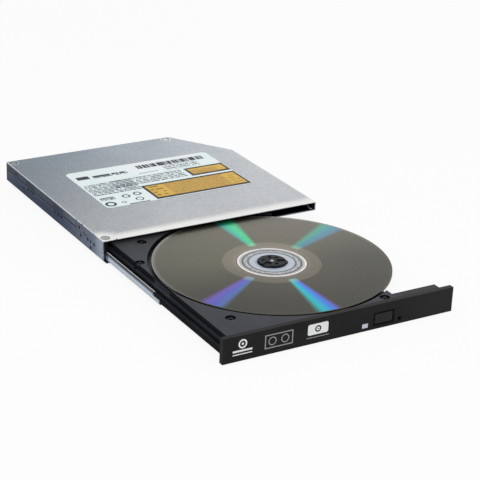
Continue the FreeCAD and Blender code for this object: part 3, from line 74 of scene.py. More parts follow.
class Shader:
    """A material with one Principled shader, and short calls to build the maps that feed it.

    Lengths in the maps are millimetres of the part at rest. A mask is 1 inside and 0 outside,
    and a box is its left, right, low and high edge."""

    def __init__(self, name, color, rough, metal=0.0, **sockets):
        self.material = bpy.data.materials.new(name)
        self.material.use_nodes = True
        self.tree = self.material.node_tree
        self.bsdf = self.tree.nodes["Principled BSDF"]
        self.set("Base Color", (*color, 1.0))
        self.set("Roughness", rough)
        self.set("Metallic", metal)
        for key, value in sockets.items():
            self.set(key.replace("_", " "), value)
        metres = self.add("ShaderNodeTexCoord").outputs["Object"]
        self.place = self.add("ShaderNodeVectorMath", {0: metres, "Scale": 1 / MM},
                              operation="SCALE").outputs[0]

    def set(self, socket, value):
        self.bsdf.inputs[socket].default_value = value

    def add(self, kind, inputs=None, **settings):
        node = self.tree.nodes.new(kind)
        for key, value in settings.items():
            setattr(node, key, value)
        for key, value in (inputs or {}).items():
            self.feed(node.inputs[key], value)
        return node

    def feed(self, socket, value):
        if isinstance(value, bpy.types.NodeSocket):
            self.tree.links.new(value, socket)
        else:
            socket.default_value = value

    # Numbers

    def math(self, operation, a, b=0.0, c=0.0):
        return self.add("ShaderNodeMath", {0: a, 1: b, 2: c}, operation=operation).outputs[0]

    def times(self, *values):
        result = values[0]
        for value in values[1:]:
            result = self.math("MULTIPLY", result, value)
        return result

    def either(self, *masks):
        result = masks[0]
        for mask in masks[1:]:
            result = self.math("MAXIMUM", result, mask)
        return result

    def length(self, a, b):
        return self.math("SQRT", self.math("ADD", self.times(a, a), self.times(b, b)))

    def ramp(self, value, low, high, start=0.0, end=1.0):
        """Eases from start to end while value goes from low to high, which may be below low."""
        node = self.add("ShaderNodeMapRange", {"Value": value, "From Min": low, "From Max": high,
                                               "To Min": start, "To Max": end},
                        interpolation_type="SMOOTHSTEP")
        return node.outputs[0]

    def soft(self, noise, start=0.0, end=1.0):
        """Start to end over most of the range of a noise."""
        return self.ramp(noise, 0.3, 0.7, start, end)

    def crisp(self, noise, start=0.0, end=1.0):
        """Start to end over the middle of the range of a noise."""
        return self.ramp(noise, 0.35, 0.65, start, end)

    # Places

    def point(self, x, y=0.0):
        return self.add("ShaderNodeCombineXYZ", {0: x, 1: y}).outputs[0]

    def split(self, vector=None):
        return self.add("ShaderNodeSeparateXYZ", {"Vector": vector or self.place}).outputs

    def moved(self, offset=(0, 0, 0), scale=(1, 1, 1), turn=0.0):
        node = self.add("ShaderNodeMapping", {"Vector": self.place, "Location": offset,
                                              "Scale": scale, "Rotation": (0, 0, turn)})
        return node.outputs["Vector"]

    def around(self, center):
        """Distances along X and Y from an upright axis."""
        x, y, _ = self.split(self.moved(offset=(-center[0], -center[1], 0)))
        return x, y

    def polar(self, center):
        """Radius, and angle in degrees, round an upright axis."""
        x, y = self.around(center)
        return self.length(x, y), self.math("DEGREES", self.math("ARCTAN2", y, x))

    def facing_up(self):
        """1 on level faces that look up, 0 on upright ones."""
        normal = self.add("ShaderNodeTexCoord").outputs["Normal"]
        return self.split(normal)[2]

    # Masks

    def between(self, value, low, high):
        return self.math("COMPARE", value, (low + high) / 2, (high - low) / 2)

    def inside(self, u, v, left, right, low, high):
        return self.times(self.between(u, left, right), self.between(v, low, high))

    def rounded(self, u, v, left, right, low, high, corner):
        """A box of u and v with round corners."""
        beyond = []
        for value, start, end in ((u, left, right), (v, low, high)):
            offset = self.math("SUBTRACT", value, (start + end) / 2)
            past = self.math("SUBTRACT", self.math("ABSOLUTE", offset), (end - start) / 2 - corner)
            beyond.append(self.math("MAXIMUM", past, 0.0))
        return self.math("LESS_THAN", self.length(*beyond), corner)

    def ring(self, u, v, center, radius, width):
        across = self.math("SUBTRACT", u, center[0])
        along = self.math("SUBTRACT", v, center[1])
        return self.math("COMPARE", self.length(across, along), radius, width / 2)

    def dot(self, u, v, center, radius):
        return self.ring(u, v, center, radius / 2, radius)

    def rows(self, u, v, box, pitch, fill=0.5, dash=1.0):
        """Rows of plain dashes of uneven length."""
        count = self.math("DIVIDE", v, pitch)
        bar = self.math("LESS_THAN", self.math("FRACT", count), fill)
        row = self.times(self.math("FLOOR", count), ROW_SHIFT)
        spot = self.point(self.math("DIVIDE", u, dash), row)
        dashes = self.math("GREATER_THAN", self.noise(1.0, 1, spot), DASH_LEVEL)
        return self.times(self.inside(u, v, *box), bar, dashes)

    # Textures and colours

    def noise(self, size, detail=3.0, vector=None):
        """Noise with features about size across."""
        node = self.add("ShaderNodeTexNoise", {"Vector": vector or self.place, "Scale": 1 / size,
                                               "Detail": detail})
        return node.outputs["Fac"]

    def rings(self, radius, size):
        """Noise that changes with the radius alone."""
        return self.noise(size, 2, self.point(radius))

    def cells(self, size, output="Distance"):
        node = self.add("ShaderNodeTexVoronoi", {"Vector": self.place, "Scale": 1 / size})
        return node.outputs[output]

    def mix(self, factor, a, b, blend="MIX"):
        node = self.add("ShaderNodeMix", data_type="RGBA", blend_type=blend)
        for index, value in ((0, factor), (6, a), (7, b)):
            if isinstance(value, tuple):
                value = (*value, 1.0)
            self.feed(node.inputs[index], value)
        return node.outputs[2]

    def clouded(self, noise, color, low, high):
        """Color in tones from low to high, after a noise."""
        return self.mix(self.soft(noise), toned(color, low), toned(color, high))

    def gradient(self, value, stops):
        """A colour that follows value through the stops, each a place from 0 to 1 and a colour."""
        node = self.add("ShaderNodeValToRGB", {"Fac": value})
        points = node.color_ramp.elements
        while len(points) < len(stops):
            points.new(0.5)
        for point, (place, color) in zip(points, stops):
            point.position = place
            point.color = (*color, 1.0)
        return node.outputs["Color"]

    # What feeds the shader

    def color(self, value):
        self.feed(self.bsdf.inputs["Base Color"], value)

    def roughness(self, value):
        self.feed(self.bsdf.inputs["Roughness"], value)

    def metallic(self, value):
        self.feed(self.bsdf.inputs["Metallic"], value)

    def bump(self, height, distance):
        node = self.add("ShaderNodeBump", {"Height": height, "Distance": distance * MM,
                                           "Strength": 1.0})
        self.feed(self.bsdf.inputs["Normal"], node.outputs[0])


# Plain families of material

def plastic(name, color, rough=0.5, grain=0.35, depth=0.01, spread=0.12, **sockets):
    """Moulded plastic: a fine spark-eroded grain, and slow changes of tone and gloss."""
    s = Shader(name, color, rough, **sockets)
    fine = s.noise(grain, 4)
    base = s.clouded(s.noise(14, 2), color, 1 - spread, 1 + spread)
    s.color(s.mix(s.ramp(fine, 0.55, 0.75, 0, 0.25), base, toned(color, 1.5)))
    s.roughness(s.ramp(fine, 0.25, 0.75, rough - 0.07, rough + 0.09))
    s.bump(fine, depth)
    return s.material


def metal(name, color, rough=0.3, drawn=(1, 1, 1), size=0.5, spread=0.1, depth=0.004, share=1.0):
    """Plated or drawn metal: a grain drawn out along one way, faint blotches and uneven gloss.

    Share is how far the surface is bare metal."""
    s = Shader(name, color, rough, share)
    grain = s.noise(size, 5, s.moved(scale=drawn))
    blotch = s.noise(9, 4)
    base = s.clouded(blotch, color, 1 - spread, 1 + spread)
    s.color(s.mix(s.crisp(grain, 0, 0.35), base, toned(color, 0.7)))
    s.roughness(s.math("ADD", s.soft(grain, rough - 0.07, rough + 0.07),
                       s.ramp(blotch, 0.3, 0.8, -0.03, 0.05)))
    s.bump(grain, depth)
    return s.material


# Sheet metal of the case

REAR_ZINC = (0.315, 0.365, 0.425)
FRONT_ZINC = (0.52, 0.535, 0.545)
CLOUD_ZINC = (0.30, 0.33, 0.38)
# Painted highlight on the cover's edges and screw dishes
HIGHLIGHT_ZINC = (0.93, 0.93, 0.90)
PLAIN_ZINC = (0.30, 0.325, 0.36)
# Painted shade, and painted light at the left wall's front end
SHADED_ZINC = (0.018, 0.032, 0.068)
FRONT_LIGHT_ZINC = (0.50, 0.56, 0.68)
SHADOW = (0.004, 0.006, 0.012)
GLINT = (0.10, 0.15, 0.25)
BRIGHT_SPECK = (0.85, 0.87, 0.90)
DARK_SPECK = (0.10, 0.11, 0.13)

LEFT_WALL = -61.9
SIDE_INSIDE = 63.45
REAR_INSIDE = 62.5
SHEET = 0.55
STEP = 39.6
WING_FLOOR = 8.4
BEVEL = 120.4
BEVEL_SLOPE = 1.463
COVER_CORNER = (-64, -63)
COVER_EDGE = (63.1, 63.8)
COVER_SCREWS = ((-60.9, 59.95), (36.4, 59.95), (-60.9, -59.35))
DISH_RING = (2.7, 0.7)
RECESS_RING = (2.0, 0.8)
TONE_WAY = (0.45, -0.9)
TONE_SPAN = (-75, 55)

# Marks on the left wall, by how far they are behind the case's front, and their height

SEAM = 8.5
SEAM_SPANS = ((33.0, 49.0), (61.0, 86.0), (97.0, 108.0), (116.3, 123.0))
SEAM_SHADOW = (SEAM - 0.5, SEAM + 0.3)
SEAM_GLINT = (SEAM - 1.5, SEAM - 0.5)
HOLES = ((10.4, 6.8), (18.1, 6.9), (26.5, 5.9), (28.5, 9.7), (50.8, 7.0), (59.5, 7.0),
         (88.3, 7.0), (91.6, 7.0), (101.3, 5.9), (112.5, 9.9), (14.6, 3.4))
HOLE_RADIUS = 1.0
SKIRT_NOTCHES = (8.5, 24.9, 32.1)
NOTCH_HALF = 0.6
NOTCH_HEIGHTS = (COVER_TOP - 1.1, COVER_TOP - 0.25)
SKIRT_CUT = (32.4, 33.2)
CUT_HEIGHTS = (SEAM, COVER_TOP - 1.3)


def side_shadows(s, back, z):
    """Shadow in the seam under the skirt of the cover, and in the dishes of the side holes."""
    seams = [s.inside(back, z, *span, *SEAM_SHADOW) for span in SEAM_SPANS]
    return s.either(*seams, *[s.dot(back, z, place, HOLE_RADIUS) for place in HOLES])


def side_glints(s, back, z):
    """Light on the rolled edge below the long seams."""
    return s.either(*[s.inside(back, z, *span, *SEAM_GLINT) for span in SEAM_SPANS])


def skirt_shadows(s, back, z):
    """Shadow where the skirt of the cover is notched and cut."""
    notches = [s.inside(back, z, place - NOTCH_HALF, place + NOTCH_HALF, *NOTCH_HEIGHTS)
               for place in SKIRT_NOTCHES]
    return s.either(s.inside(back, z, *SKIRT_CUT, *CUT_HEIGHTS), *notches)


def case_inside(s, x, y, z):
    """1 on the faces inside the case, above its floor and above the floor of its wing."""
    body = s.inside(x, z, -SIDE_INSIDE, STEP - SHEET, SHEET, COVER_TOP - SHEET)
    wing = s.inside(x, z, STEP - 0.6, SIDE_INSIDE, WING_FLOOR - 0.05, COVER_TOP - SHEET)
    bevel = s.math("LESS_THAN", s.math("ADD", s.times(x, BEVEL_SLOPE), y), BEVEL)
    return s.times(s.either(body, wing), bevel, s.math("LESS_THAN", y, REAR_INSIDE))


def zinc_walls(s, x, y, z, is_cover):
    """Painted shade in navy inside the case and on the left wall. Painted light makes the wall
    paler below the seam and near its front. The wall has painted glints and shadows at its marks,
    and plain zinc elsewhere.
    """
    streaks = s.crisp(s.noise(2.5, 4, s.moved(scale=(1, 0.08, 1))))
    lower = s.math("LESS_THAN", z, SEAM - 1.0)
    near = s.ramp(y, CASE_FRONT + 60, CASE_FRONT + 5)
    end = s.ramp(y, CASE_FRONT + 13, CASE_FRONT + 2)
    # Painted shade on the left wall, lighter below the seam, with painted light towards its front
    # end
    shaded_wall = s.mix(streaks, toned(SHADED_ZINC, 0.7), toned(SHADED_ZINC, 1.4))
    shaded_wall = s.mix(s.times(lower, 0.35), shaded_wall, toned(SHADED_ZINC, 2.6))
    shaded_wall = s.mix(s.times(near, 0.34), shaded_wall, FRONT_LIGHT_ZINC)
    shaded_wall = s.mix(s.times(end, 0.7), shaded_wall, FRONT_LIGHT_ZINC)
    plain = s.mix(streaks, toned(PLAIN_ZINC, 0.96), toned(PLAIN_ZINC, 1.05))

    left = s.math("LESS_THAN", x, LEFT_WALL)
    back = s.math("SUBTRACT", y, CASE_FRONT)
    wall = s.mix(left, plain, shaded_wall)
    # Painted shade inside the case
    wall = s.mix(case_inside(s, x, y, z), wall, SHADED_ZINC)
    wall = s.mix(s.times(left, side_glints(s, back, z), 0.5), wall, GLINT)
    wall = s.mix(s.times(left, side_shadows(s, back, z)), wall, SHADOW)
    if is_cover:
        wall = s.mix(s.times(left, skirt_shadows(s, back, z)), wall, SHADOW)
    return wall


def cover_face(s, x, y, cloud):
    """The cover's upper face. Painted light makes it paler towards its front. It has painted
    highlights on its front strip, front-left corner, side edges and screw dishes, and painted
    shadow round the screw heads.
    """
    # Painted light: paler towards the front right, darker towards the rear left
    ahead = s.math("ADD", s.times(x, TONE_WAY[0]), s.times(y, TONE_WAY[1]))
    face = s.mix(s.ramp(ahead, *TONE_SPAN), REAR_ZINC, FRONT_ZINC)
    # Painted highlights on the front strip, the front-left corner and the side edges
    strip = s.ramp(y, CASE_FRONT + 9.0, CASE_FRONT + 2.5)
    corner = s.ramp(s.length(*s.around(COVER_CORNER)), 16, 6)
    side_edge = s.ramp(s.math("ABSOLUTE", x), *COVER_EDGE)
    edge_highlight = s.either(strip, corner, s.times(side_edge, 0.6))
    s.metallic(s.ramp(edge_highlight, 0.0, 1.0, 1.0, 0.2))
    face = s.mix(edge_highlight, face, HIGHLIGHT_ZINC)

    # Painted highlights on the screw dishes
    dish_highlights = s.either(*[s.ring(x, y, place, *DISH_RING) for place in COVER_SCREWS])
    # Painted shadow round the screw heads
    recess_shadows = s.either(*[s.ring(x, y, place, *RECESS_RING) for place in COVER_SCREWS])
    face = s.mix(s.times(dish_highlights, 0.7), face, HIGHLIGHT_ZINC)
    face = s.mix(s.times(recess_shadows, 0.8), face, SHADOW)
    return s.mix(s.soft(cloud, 0, 0.08), face, CLOUD_ZINC)


def zinc_sheet(name, is_cover):
    """Galvanised sheet with fine bright and dark specks."""
    s = Shader(name, FRONT_ZINC, 0.4, 1.0)
    x, y, z = s.split()
    specks = s.noise(0.8, 2)
    crystals = s.split(s.cells(1.6, "Color"))[0]
    cloud = s.noise(24, 3)
    tone = zinc_walls(s, x, y, z, is_cover)
    if is_cover:
        upper = s.ramp(z, COVER_TOP - 0.5, COVER_TOP - 0.2)
        tone = s.mix(upper, tone, cover_face(s, x, y, cloud))
    tone = s.mix(0.06, tone, crystals, "OVERLAY")
    tone = s.mix(s.ramp(specks, 0.50, 0.66, 0, 0.4), tone, BRIGHT_SPECK, "SOFT_LIGHT")
    s.color(s.mix(s.ramp(specks, 0.50, 0.34, 0, 0.4), tone, DARK_SPECK, "SOFT_LIGHT"))
    s.roughness(s.math("ADD", s.soft(specks, 0.36, 0.46), s.soft(cloud, -0.01, 0.02)))
    s.bump(specks, 0.012)
    return s.material


# Rails, the same on both sides of the tray's middle

RAIL_EDGE = (49.7, 49.2)
RAIL_BASE = 2.35
RAIL_WEB = 5.7
RAIL_TOP = 5.85
# Painted reflections: pale and dark bands up the rail's side
RAIL_REFLECTIONS = (
    (0.0, (0.34, 0.40, 0.48)),
    (0.15, (0.80, 0.87, 0.95)),
    (0.38, (0.50, 0.57, 0.67)),
    (0.55, (0.84, 0.90, 0.97)),
    (0.75, (0.50, 0.57, 0.66)),
    (0.90, (0.10, 0.12, 0.15)),
)
# Painted highlight in white on the inner part of the rail's top; its outer part is dark
WEB_OUTER = (0.10, 0.12, 0.15)
WEB_HIGHLIGHT = (0.97, 0.97, 0.96)
RAIL_STREAK = (0.45, 0.53, 0.66)


def rail_steel():
    """Folded bright rail: painted reflections in pale bands up its side, a painted highlight in a
    white line along its top, drawn streaks.
    """
    s = Shader("rail_steel", (0.80, 0.85, 0.92), 0.22, 0.65)
    x, _, z = s.split()
    reflection_bands = s.gradient(s.ramp(z, RAIL_BASE, RAIL_TOP), RAIL_REFLECTIONS)
    from_middle = s.math("ABSOLUTE", s.math("SUBTRACT", x, TRAY_MIDDLE))
    inner = s.ramp(from_middle, *RAIL_EDGE)
    web = s.mix(inner, WEB_OUTER, WEB_HIGHLIGHT)
    tone = s.mix(s.math("GREATER_THAN", z, RAIL_WEB), reflection_bands, web)
    streaks = s.noise(0.5, 5, s.moved(scale=(1, 0.02, 1)))
    s.color(s.mix(s.crisp(streaks, 0, 0.25), tone, RAIL_STREAK))
    s.metallic(s.ramp(inner, 0.0, 1.0, 0.7, 0.2))
    s.roughness(s.soft(streaks, 0.17, 0.31))
    s.bump(streaks, 0.004)
    return s.material


# Paper label with plain bars and two bare amber fields. Its boxes are the left and right edge in
# X, and the near and far edge behind the case's front. Rows are a box, their pitch, the filled
# share of it and the length of a dash, and a ring is its centre, radius and width.

PAPER = (0.80, 0.93, 0.92)
PALE_PAPER = (0.90, 0.95, 0.97)
INK = (0.018, 0.022, 0.04)
GREY_INK = (0.045, 0.058, 0.11)
AMBER = (0.72, 0.44, 0.045)
AMBER_DARK = (0.40, 0.23, 0.045)
AMBER_BARS = (0.25, 0.12, 0.03)
AMBER_FRAME = (0.012, 0.010, 0.005)

STRIPES = (-1.0, 41.5, 84.6, 89.8)
STRIPE_LEVEL = 0.44
BLOCK = (-39.6, -32.2, 82.0, 86.4)
INK_ROWS = (
    ((-30.0, -9.0, 81.6, 85.2), 3.6, 0.92, 1.3),
    ((-41.0, -32.6, 49.0, 53.0), 1.4, 0.8, 0.7),
)
INK_RINGS = (((-38.4, 43.3), 2.5, 1.4), ((-30.6, 43.0), 1.1, 0.5), ((-20.7, 44.1), 2.0, 0.7))
GREY_ROWS = (
    ((13.0, 35.0, 76.6, 83.6), 2.3, 0.45),
    ((-25.0, 19.6, 63.2, 74.4), 2.2, 0.5),
    ((-41.4, -12.5, 56.2, 73.4), 1.9, 0.55),
)
GREY_LINES = ((-4.0, 8.0, 77.8, 78.4), (-29.0, -16.8, 38.9, 40.0))
GREY_RINGS = (((-25.8, 50.6), 1.9, 1.0), ((-18.6, 51.6), 1.9, 1.0))
AMBER_FIELDS = ((22.0, 46.7, 62.4, 74.4), (-12.2, 46.7, 39.3, 60.3))
AMBER_BORDERS = (1.7, -1.3, 2.4, -1.7)
AMBER_INSETS = ((0.4, 36.8, 41.2, 58.4), (24.0, 40.0, 64.0, 70.6))
AMBER_ROWS = (
    ((-9.6, -2.0, 42.2, 58.0), 4.0, 0.36, 3.0),
    ((38.2, 44.4, 44.0, 55.0), 3.4, 0.22, 3.0),
)


def label():
    s = Shader("label_paper", PAPER, 0.5, Specular_IOR_Level=0.25)
    x, y, _ = s.split()
    back = s.math("SUBTRACT", y, CASE_FRONT)
    color = s.mix(s.soft(s.noise(30, 2)), PAPER, PALE_PAPER)

    stripes = s.math("GREATER_THAN", s.noise(1.1, 1, s.point(x)), STRIPE_LEVEL)
    ink = [s.times(s.inside(x, back, *STRIPES), stripes), s.inside(x, back, *BLOCK)]
    ink += [s.rows(x, back, *rows) for rows in INK_ROWS]
    ink += [s.ring(x, back, *ring) for ring in INK_RINGS]
    color = s.mix(s.either(*ink), color, INK)

    grey = [s.rows(x, back, *rows) for rows in GREY_ROWS]
    grey += [s.inside(x, back, *line) for line in GREY_LINES]
    grey += [s.ring(x, back, *ring) for ring in GREY_RINGS]
    color = s.mix(s.either(*grey), color, GREY_INK)

    for field in AMBER_FIELDS:
        color = s.mix(s.inside(x, back, *field), color, AMBER_FRAME)
        bare = [edge + border for edge, border in zip(field, AMBER_BORDERS)]
        color = s.mix(s.inside(x, back, *bare), color, AMBER)
    specks = s.ramp(s.noise(0.7, 3), 0.42, 0.6, 0.3, 0.85)
    insets = s.either(*[s.inside(x, back, *inset) for inset in AMBER_INSETS])
    color = s.mix(s.times(insets, specks), color, AMBER_DARK)
    bars = s.either(*[s.rows(x, back, *rows) for rows in AMBER_ROWS])
    s.color(s.mix(bars, color, AMBER_BARS))
    s.roughness(s.soft(s.noise(1.5, 3), 0.42, 0.56))
    return s.material


# Disc face: clear hub, moulded rings, mirror band, recorded area with four painted reflections in
# streaks of colour

RIM = 60.0
MIRROR_FROM = 17.6
RECORDED_FROM = 25.0
RECORDED_TO = 58.4
STAMPED_BAND = (12.5, 14.2)
FROSTED_BAND = (15.2, 17.3)
FINE_RINGS = (18.3, 19.1)
FINE_RING_HALF = 0.12
GROOVE = 0.12
SHADE_TURN = 85
STREAKS_FROM = (20.5, 22.5)
STREAKS_TO = 59.2
TIPS_TO = 27.0

STAMPED = (0.54, 0.55, 0.58)
FROSTED = (0.42, 0.41, 0.39)
FINE_RING = (0.44, 0.43, 0.40)
RECORDED = (0.117, 0.111, 0.072)
RECORDED_TINTS = ((0.0, (0.112, 0.112, 0.068)), (1.0, (0.130, 0.111, 0.090)))

# Colours by radius

RINGS = (
    (7.5, (0.34, 0.39, 0.46)),
    (9.4, (0.50, 0.56, 0.64)),
    (11.4, (0.46, 0.51, 0.58)),
    (11.6, (0.10, 0.11, 0.13)),
    (12.2, (0.10, 0.11, 0.13)),
    (12.5, (0.30, 0.31, 0.33)),
    (14.2, (0.26, 0.27, 0.30)),
    (14.5, (0.05, 0.05, 0.06)),
    (15.0, (0.05, 0.05, 0.06)),
    (15.3, (0.42, 0.42, 0.41)),
    (16.3, (0.50, 0.50, 0.48)),
    (16.6, (0.90, 0.89, 0.86)),
    (17.3, (0.86, 0.85, 0.82)),
    (17.6, (0.10, 0.08, 0.065)),
    (18.6, (0.220, 0.190, 0.142)),
    (24.6, (0.200, 0.173, 0.126)),
    (25.2, RECORDED),
    (52.0, (0.104, 0.099, 0.070)),
    (58.1, (0.094, 0.090, 0.066)),
    (58.4, (0.20, 0.19, 0.17)),
    (59.3, (0.17, 0.165, 0.15)),
    (59.6, (0.32, 0.31, 0.28)),
    (60.0, (0.34, 0.33, 0.30)),
)

# Painted reflections: each streak's first and last angle, its strength, and its colours from the
# one to the other

REFLECTION_STREAKS = (
    (78.6, 92.4, 1.0,
     ((0.0, (0.05, 0.55, 0.22)), (0.45, (0.03, 0.62, 0.30)), (1.0, (0.04, 0.32, 0.38)))),
    (18.5, 34.0, 0.85,
     ((0.0, (0.10, 0.20, 0.36)), (0.4, (0.05, 0.28, 0.40)), (1.0, (0.05, 0.46, 0.24)))),
    (-157.0, -142.5, 0.95,
     ((0.0, (0.24, 0.09, 0.52)), (0.5, (0.10, 0.13, 0.62)), (1.0, (0.08, 0.23, 0.46)))),
    (-101.0, -87.2, 1.0,
     ((0.0, (0.01, 0.48, 0.32)), (0.35, (0.0, 0.56, 0.70)), (0.68, (0.04, 0.24, 0.92)),
      (1.0, (0.25, 0.12, 0.62)))),
)
STREAK_TIP = (0.34, 0.58, 0.34)


def recorded_area(s, radius, angle, grooves, color):
    """Slow changes of tint, fine grooves, and a painted shade that deepens on one side of the
    disc.
    """
    recorded = s.between(radius, RECORDED_FROM, RECORDED_TO)
    tint = s.gradient(s.soft(s.noise(70, 1)), RECORDED_TINTS)
    color = s.mix(s.times(recorded, 0.4), color, tint)
    lines = s.times(recorded, s.ramp(grooves, 0.4, 0.7, 0, 0.06))
    color = s.mix(lines, color, toned(RECORDED, 0.6))
    # Painted shade, deepest on one side of the disc and growing outwards over the recorded area
    facing = s.math("COSINE", s.math("RADIANS", s.math("ADD", angle, SHADE_TURN)))
    depth = s.math("ADD", s.ramp(radius, RECORDED_FROM - 0.4, RECORDED_FROM, 0.3, 0.72),
                   s.ramp(radius, RECORDED_FROM, 50, 0, 0.2))
    painted_shade = s.times(s.ramp(facing, -0.6, 0.5), depth)
    outside_hub = s.math("GREATER_THAN", radius, MIRROR_FROM)
    return s.mix(s.times(outside_hub, painted_shade), color, toned(RECORDED, 0.35))


def painted_reflections(s, radius, angle, color):
    """Painted reflections in four streaks, which fade at their sides and are paler at their inner
    tips.
    """
    reach = s.times(s.ramp(radius, *STREAKS_FROM), s.math("LESS_THAN", radius, STREAKS_TO))
    tip = s.times(s.ramp(radius, TIPS_TO, STREAKS_FROM[1]), 0.6)
    for first, last, strength, tones in REFLECTION_STREAKS:
        across = s.math("DIVIDE", s.math("SUBTRACT", angle, first), last - first)
        rise = s.ramp(across, -0.05, 0.30)
        fall = s.ramp(across, 1.05, 0.70)
        tone = s.mix(tip, s.gradient(across, tones), STREAK_TIP)
        color = s.mix(s.times(rise, fall, reach, strength), color, tone)
    return color


def disc_face():
    s = Shader("disc_face", RECORDED, 0.25, 1.0, Specular_IOR_Level=0.3)
    radius, angle = s.polar(HUB)
    color = s.gradient(s.math("DIVIDE", radius, RIM), [(r / RIM, tone) for r, tone in RINGS])
    s.metallic(s.ramp(radius, MIRROR_FROM - 0.2, MIRROR_FROM + 0.2, 0.0, 0.9))

    segments = s.noise(1.0, 2, s.point(s.times(angle, 0.16), s.times(radius, 0.9)))
    stamped = s.times(s.between(radius, *STAMPED_BAND), s.ramp(segments, 0.42, 0.58))
    color = s.mix(stamped, color, STAMPED)
    frosted = s.times(s.between(radius, *FROSTED_BAND), s.ramp(s.noise(1.6, 3), 0.5, 0.7, 0, 0.5))
    color = s.mix(frosted, color, FROSTED)
    for ring_radius in FINE_RINGS:
        fine_ring = s.math("COMPARE", radius, ring_radius, FINE_RING_HALF)
        color = s.mix(s.times(fine_ring, 0.55), color, FINE_RING)

    grooves = s.rings(radius, GROOVE)
    color = recorded_area(s, radius, angle, grooves, color)
    s.color(painted_reflections(s, radius, angle, color))
    s.roughness(s.math("ADD", s.soft(grooves, 0.27, 0.29), s.times(frosted, 0.4)))
    return s.material


# Bezel with three plain printed marks in the places of the words on the object. Its boxes are in
# X and Z. A ring is its centre, radius and width, and a dot its centre and radius.

BEZEL = (0.0165, 0.0162, 0.0172)
PRINT = (0.93, 0.94, 0.95)
FAINT_PRINT = (0.38, 0.385, 0.40)
# Painted shadow in the button's gap and the pin hole
GAP_SHADOW = (0.002, 0.002, 0.002)

SIGN_RING = ((-53.9, 8.8), 1.9, 0.75)
SIGN_DOT = ((-53.9, 8.8), 0.6)
SIGN_BARS = ((-59.0, -48.8, 4.9, 5.9), (-59.0, -48.8, 3.5, 4.0))
FRAME = (-42.2, -27.2, 3.2, 10.2)
FRAME_HOLE = (-41.7, -27.7, 3.7, 9.7)
FRAME_RINGS = (((-38.2, 6.7), 1.9, 0.45), ((-31.4, 6.7), 1.9, 0.45))
PLATE = (-19.2, -8.0, 4.9, 10.4)
PLATE_CORNER = 1.0
PLATE_RING = ((-13.6, 7.65), 1.35, 0.7)
PLATE_DOT = ((-13.6, 7.65), 0.4)
PLATE_LINE = (-19.8, -7.4, 3.4, 3.75)
BUTTON_HOLE = (17.45, 29.55, 1.75, 8.85)
PIN_HOLE = ((32.8, 3.05), 1.2)


def bezel():
    s = Shader("bezel_black", BEZEL, 0.45, Specular_IOR_Level=0.08)
    x, y, z = s.split()
    fine = s.noise(0.3, 4)
    tone = s.clouded(s.noise(18, 2), BEZEL, 0.88, 1.15)
    # Painted light: paler towards the right end
    tone = s.mix(s.ramp(x, 20, 60, 0, 0.5), tone, toned(BEZEL, 2.1))
    tone = s.mix(s.ramp(fine, 0.55, 0.75, 0, 0.3), tone, toned(BEZEL, 1.8))

    sign = s.either(s.ring(x, z, *SIGN_RING), s.dot(x, z, *SIGN_DOT))
    bars = s.either(*[s.inside(x, z, *bar) for bar in SIGN_BARS])
    plate = s.rounded(x, z, *PLATE, PLATE_CORNER)
    plate_mark = s.either(s.ring(x, z, *PLATE_RING), s.dot(x, z, *PLATE_DOT))
    white = s.math("SUBTRACT", s.either(sign, bars, plate), plate_mark)
    frame_line = s.math("SUBTRACT", s.inside(x, z, *FRAME), s.inside(x, z, *FRAME_HOLE))
    frame_rings = [s.ring(x, z, *ring) for ring in FRAME_RINGS]
    faint = s.either(frame_line, *frame_rings, s.inside(x, z, *PLATE_LINE))
    # Painted shadow in the gap round the button and in the pin hole
    gap_shadows = s.either(s.inside(x, z, *BUTTON_HOLE), s.dot(x, z, *PIN_HOLE))

    front = s.math("LESS_THAN", y, BEZEL_FACE + 0.15)
    tone = s.mix(s.times(front, gap_shadows), tone, GAP_SHADOW)
    tone = s.mix(s.times(front, faint), tone, FAINT_PRINT)
    s.color(s.mix(s.times(front, white), tone, PRINT))
    s.roughness(s.ramp(fine, 0.25, 0.75, 0.40, 0.54))
    s.bump(fine, 0.01)
    return s.material


# Tray moulding

TRAY = (0.033, 0.036, 0.046)
POCKETS = ((-45.1, -69.05), (-57.6, -91.45), (-48.2, -164.85), (29.4, -177.65))
POCKET_RIM = (2.3, 1.0)


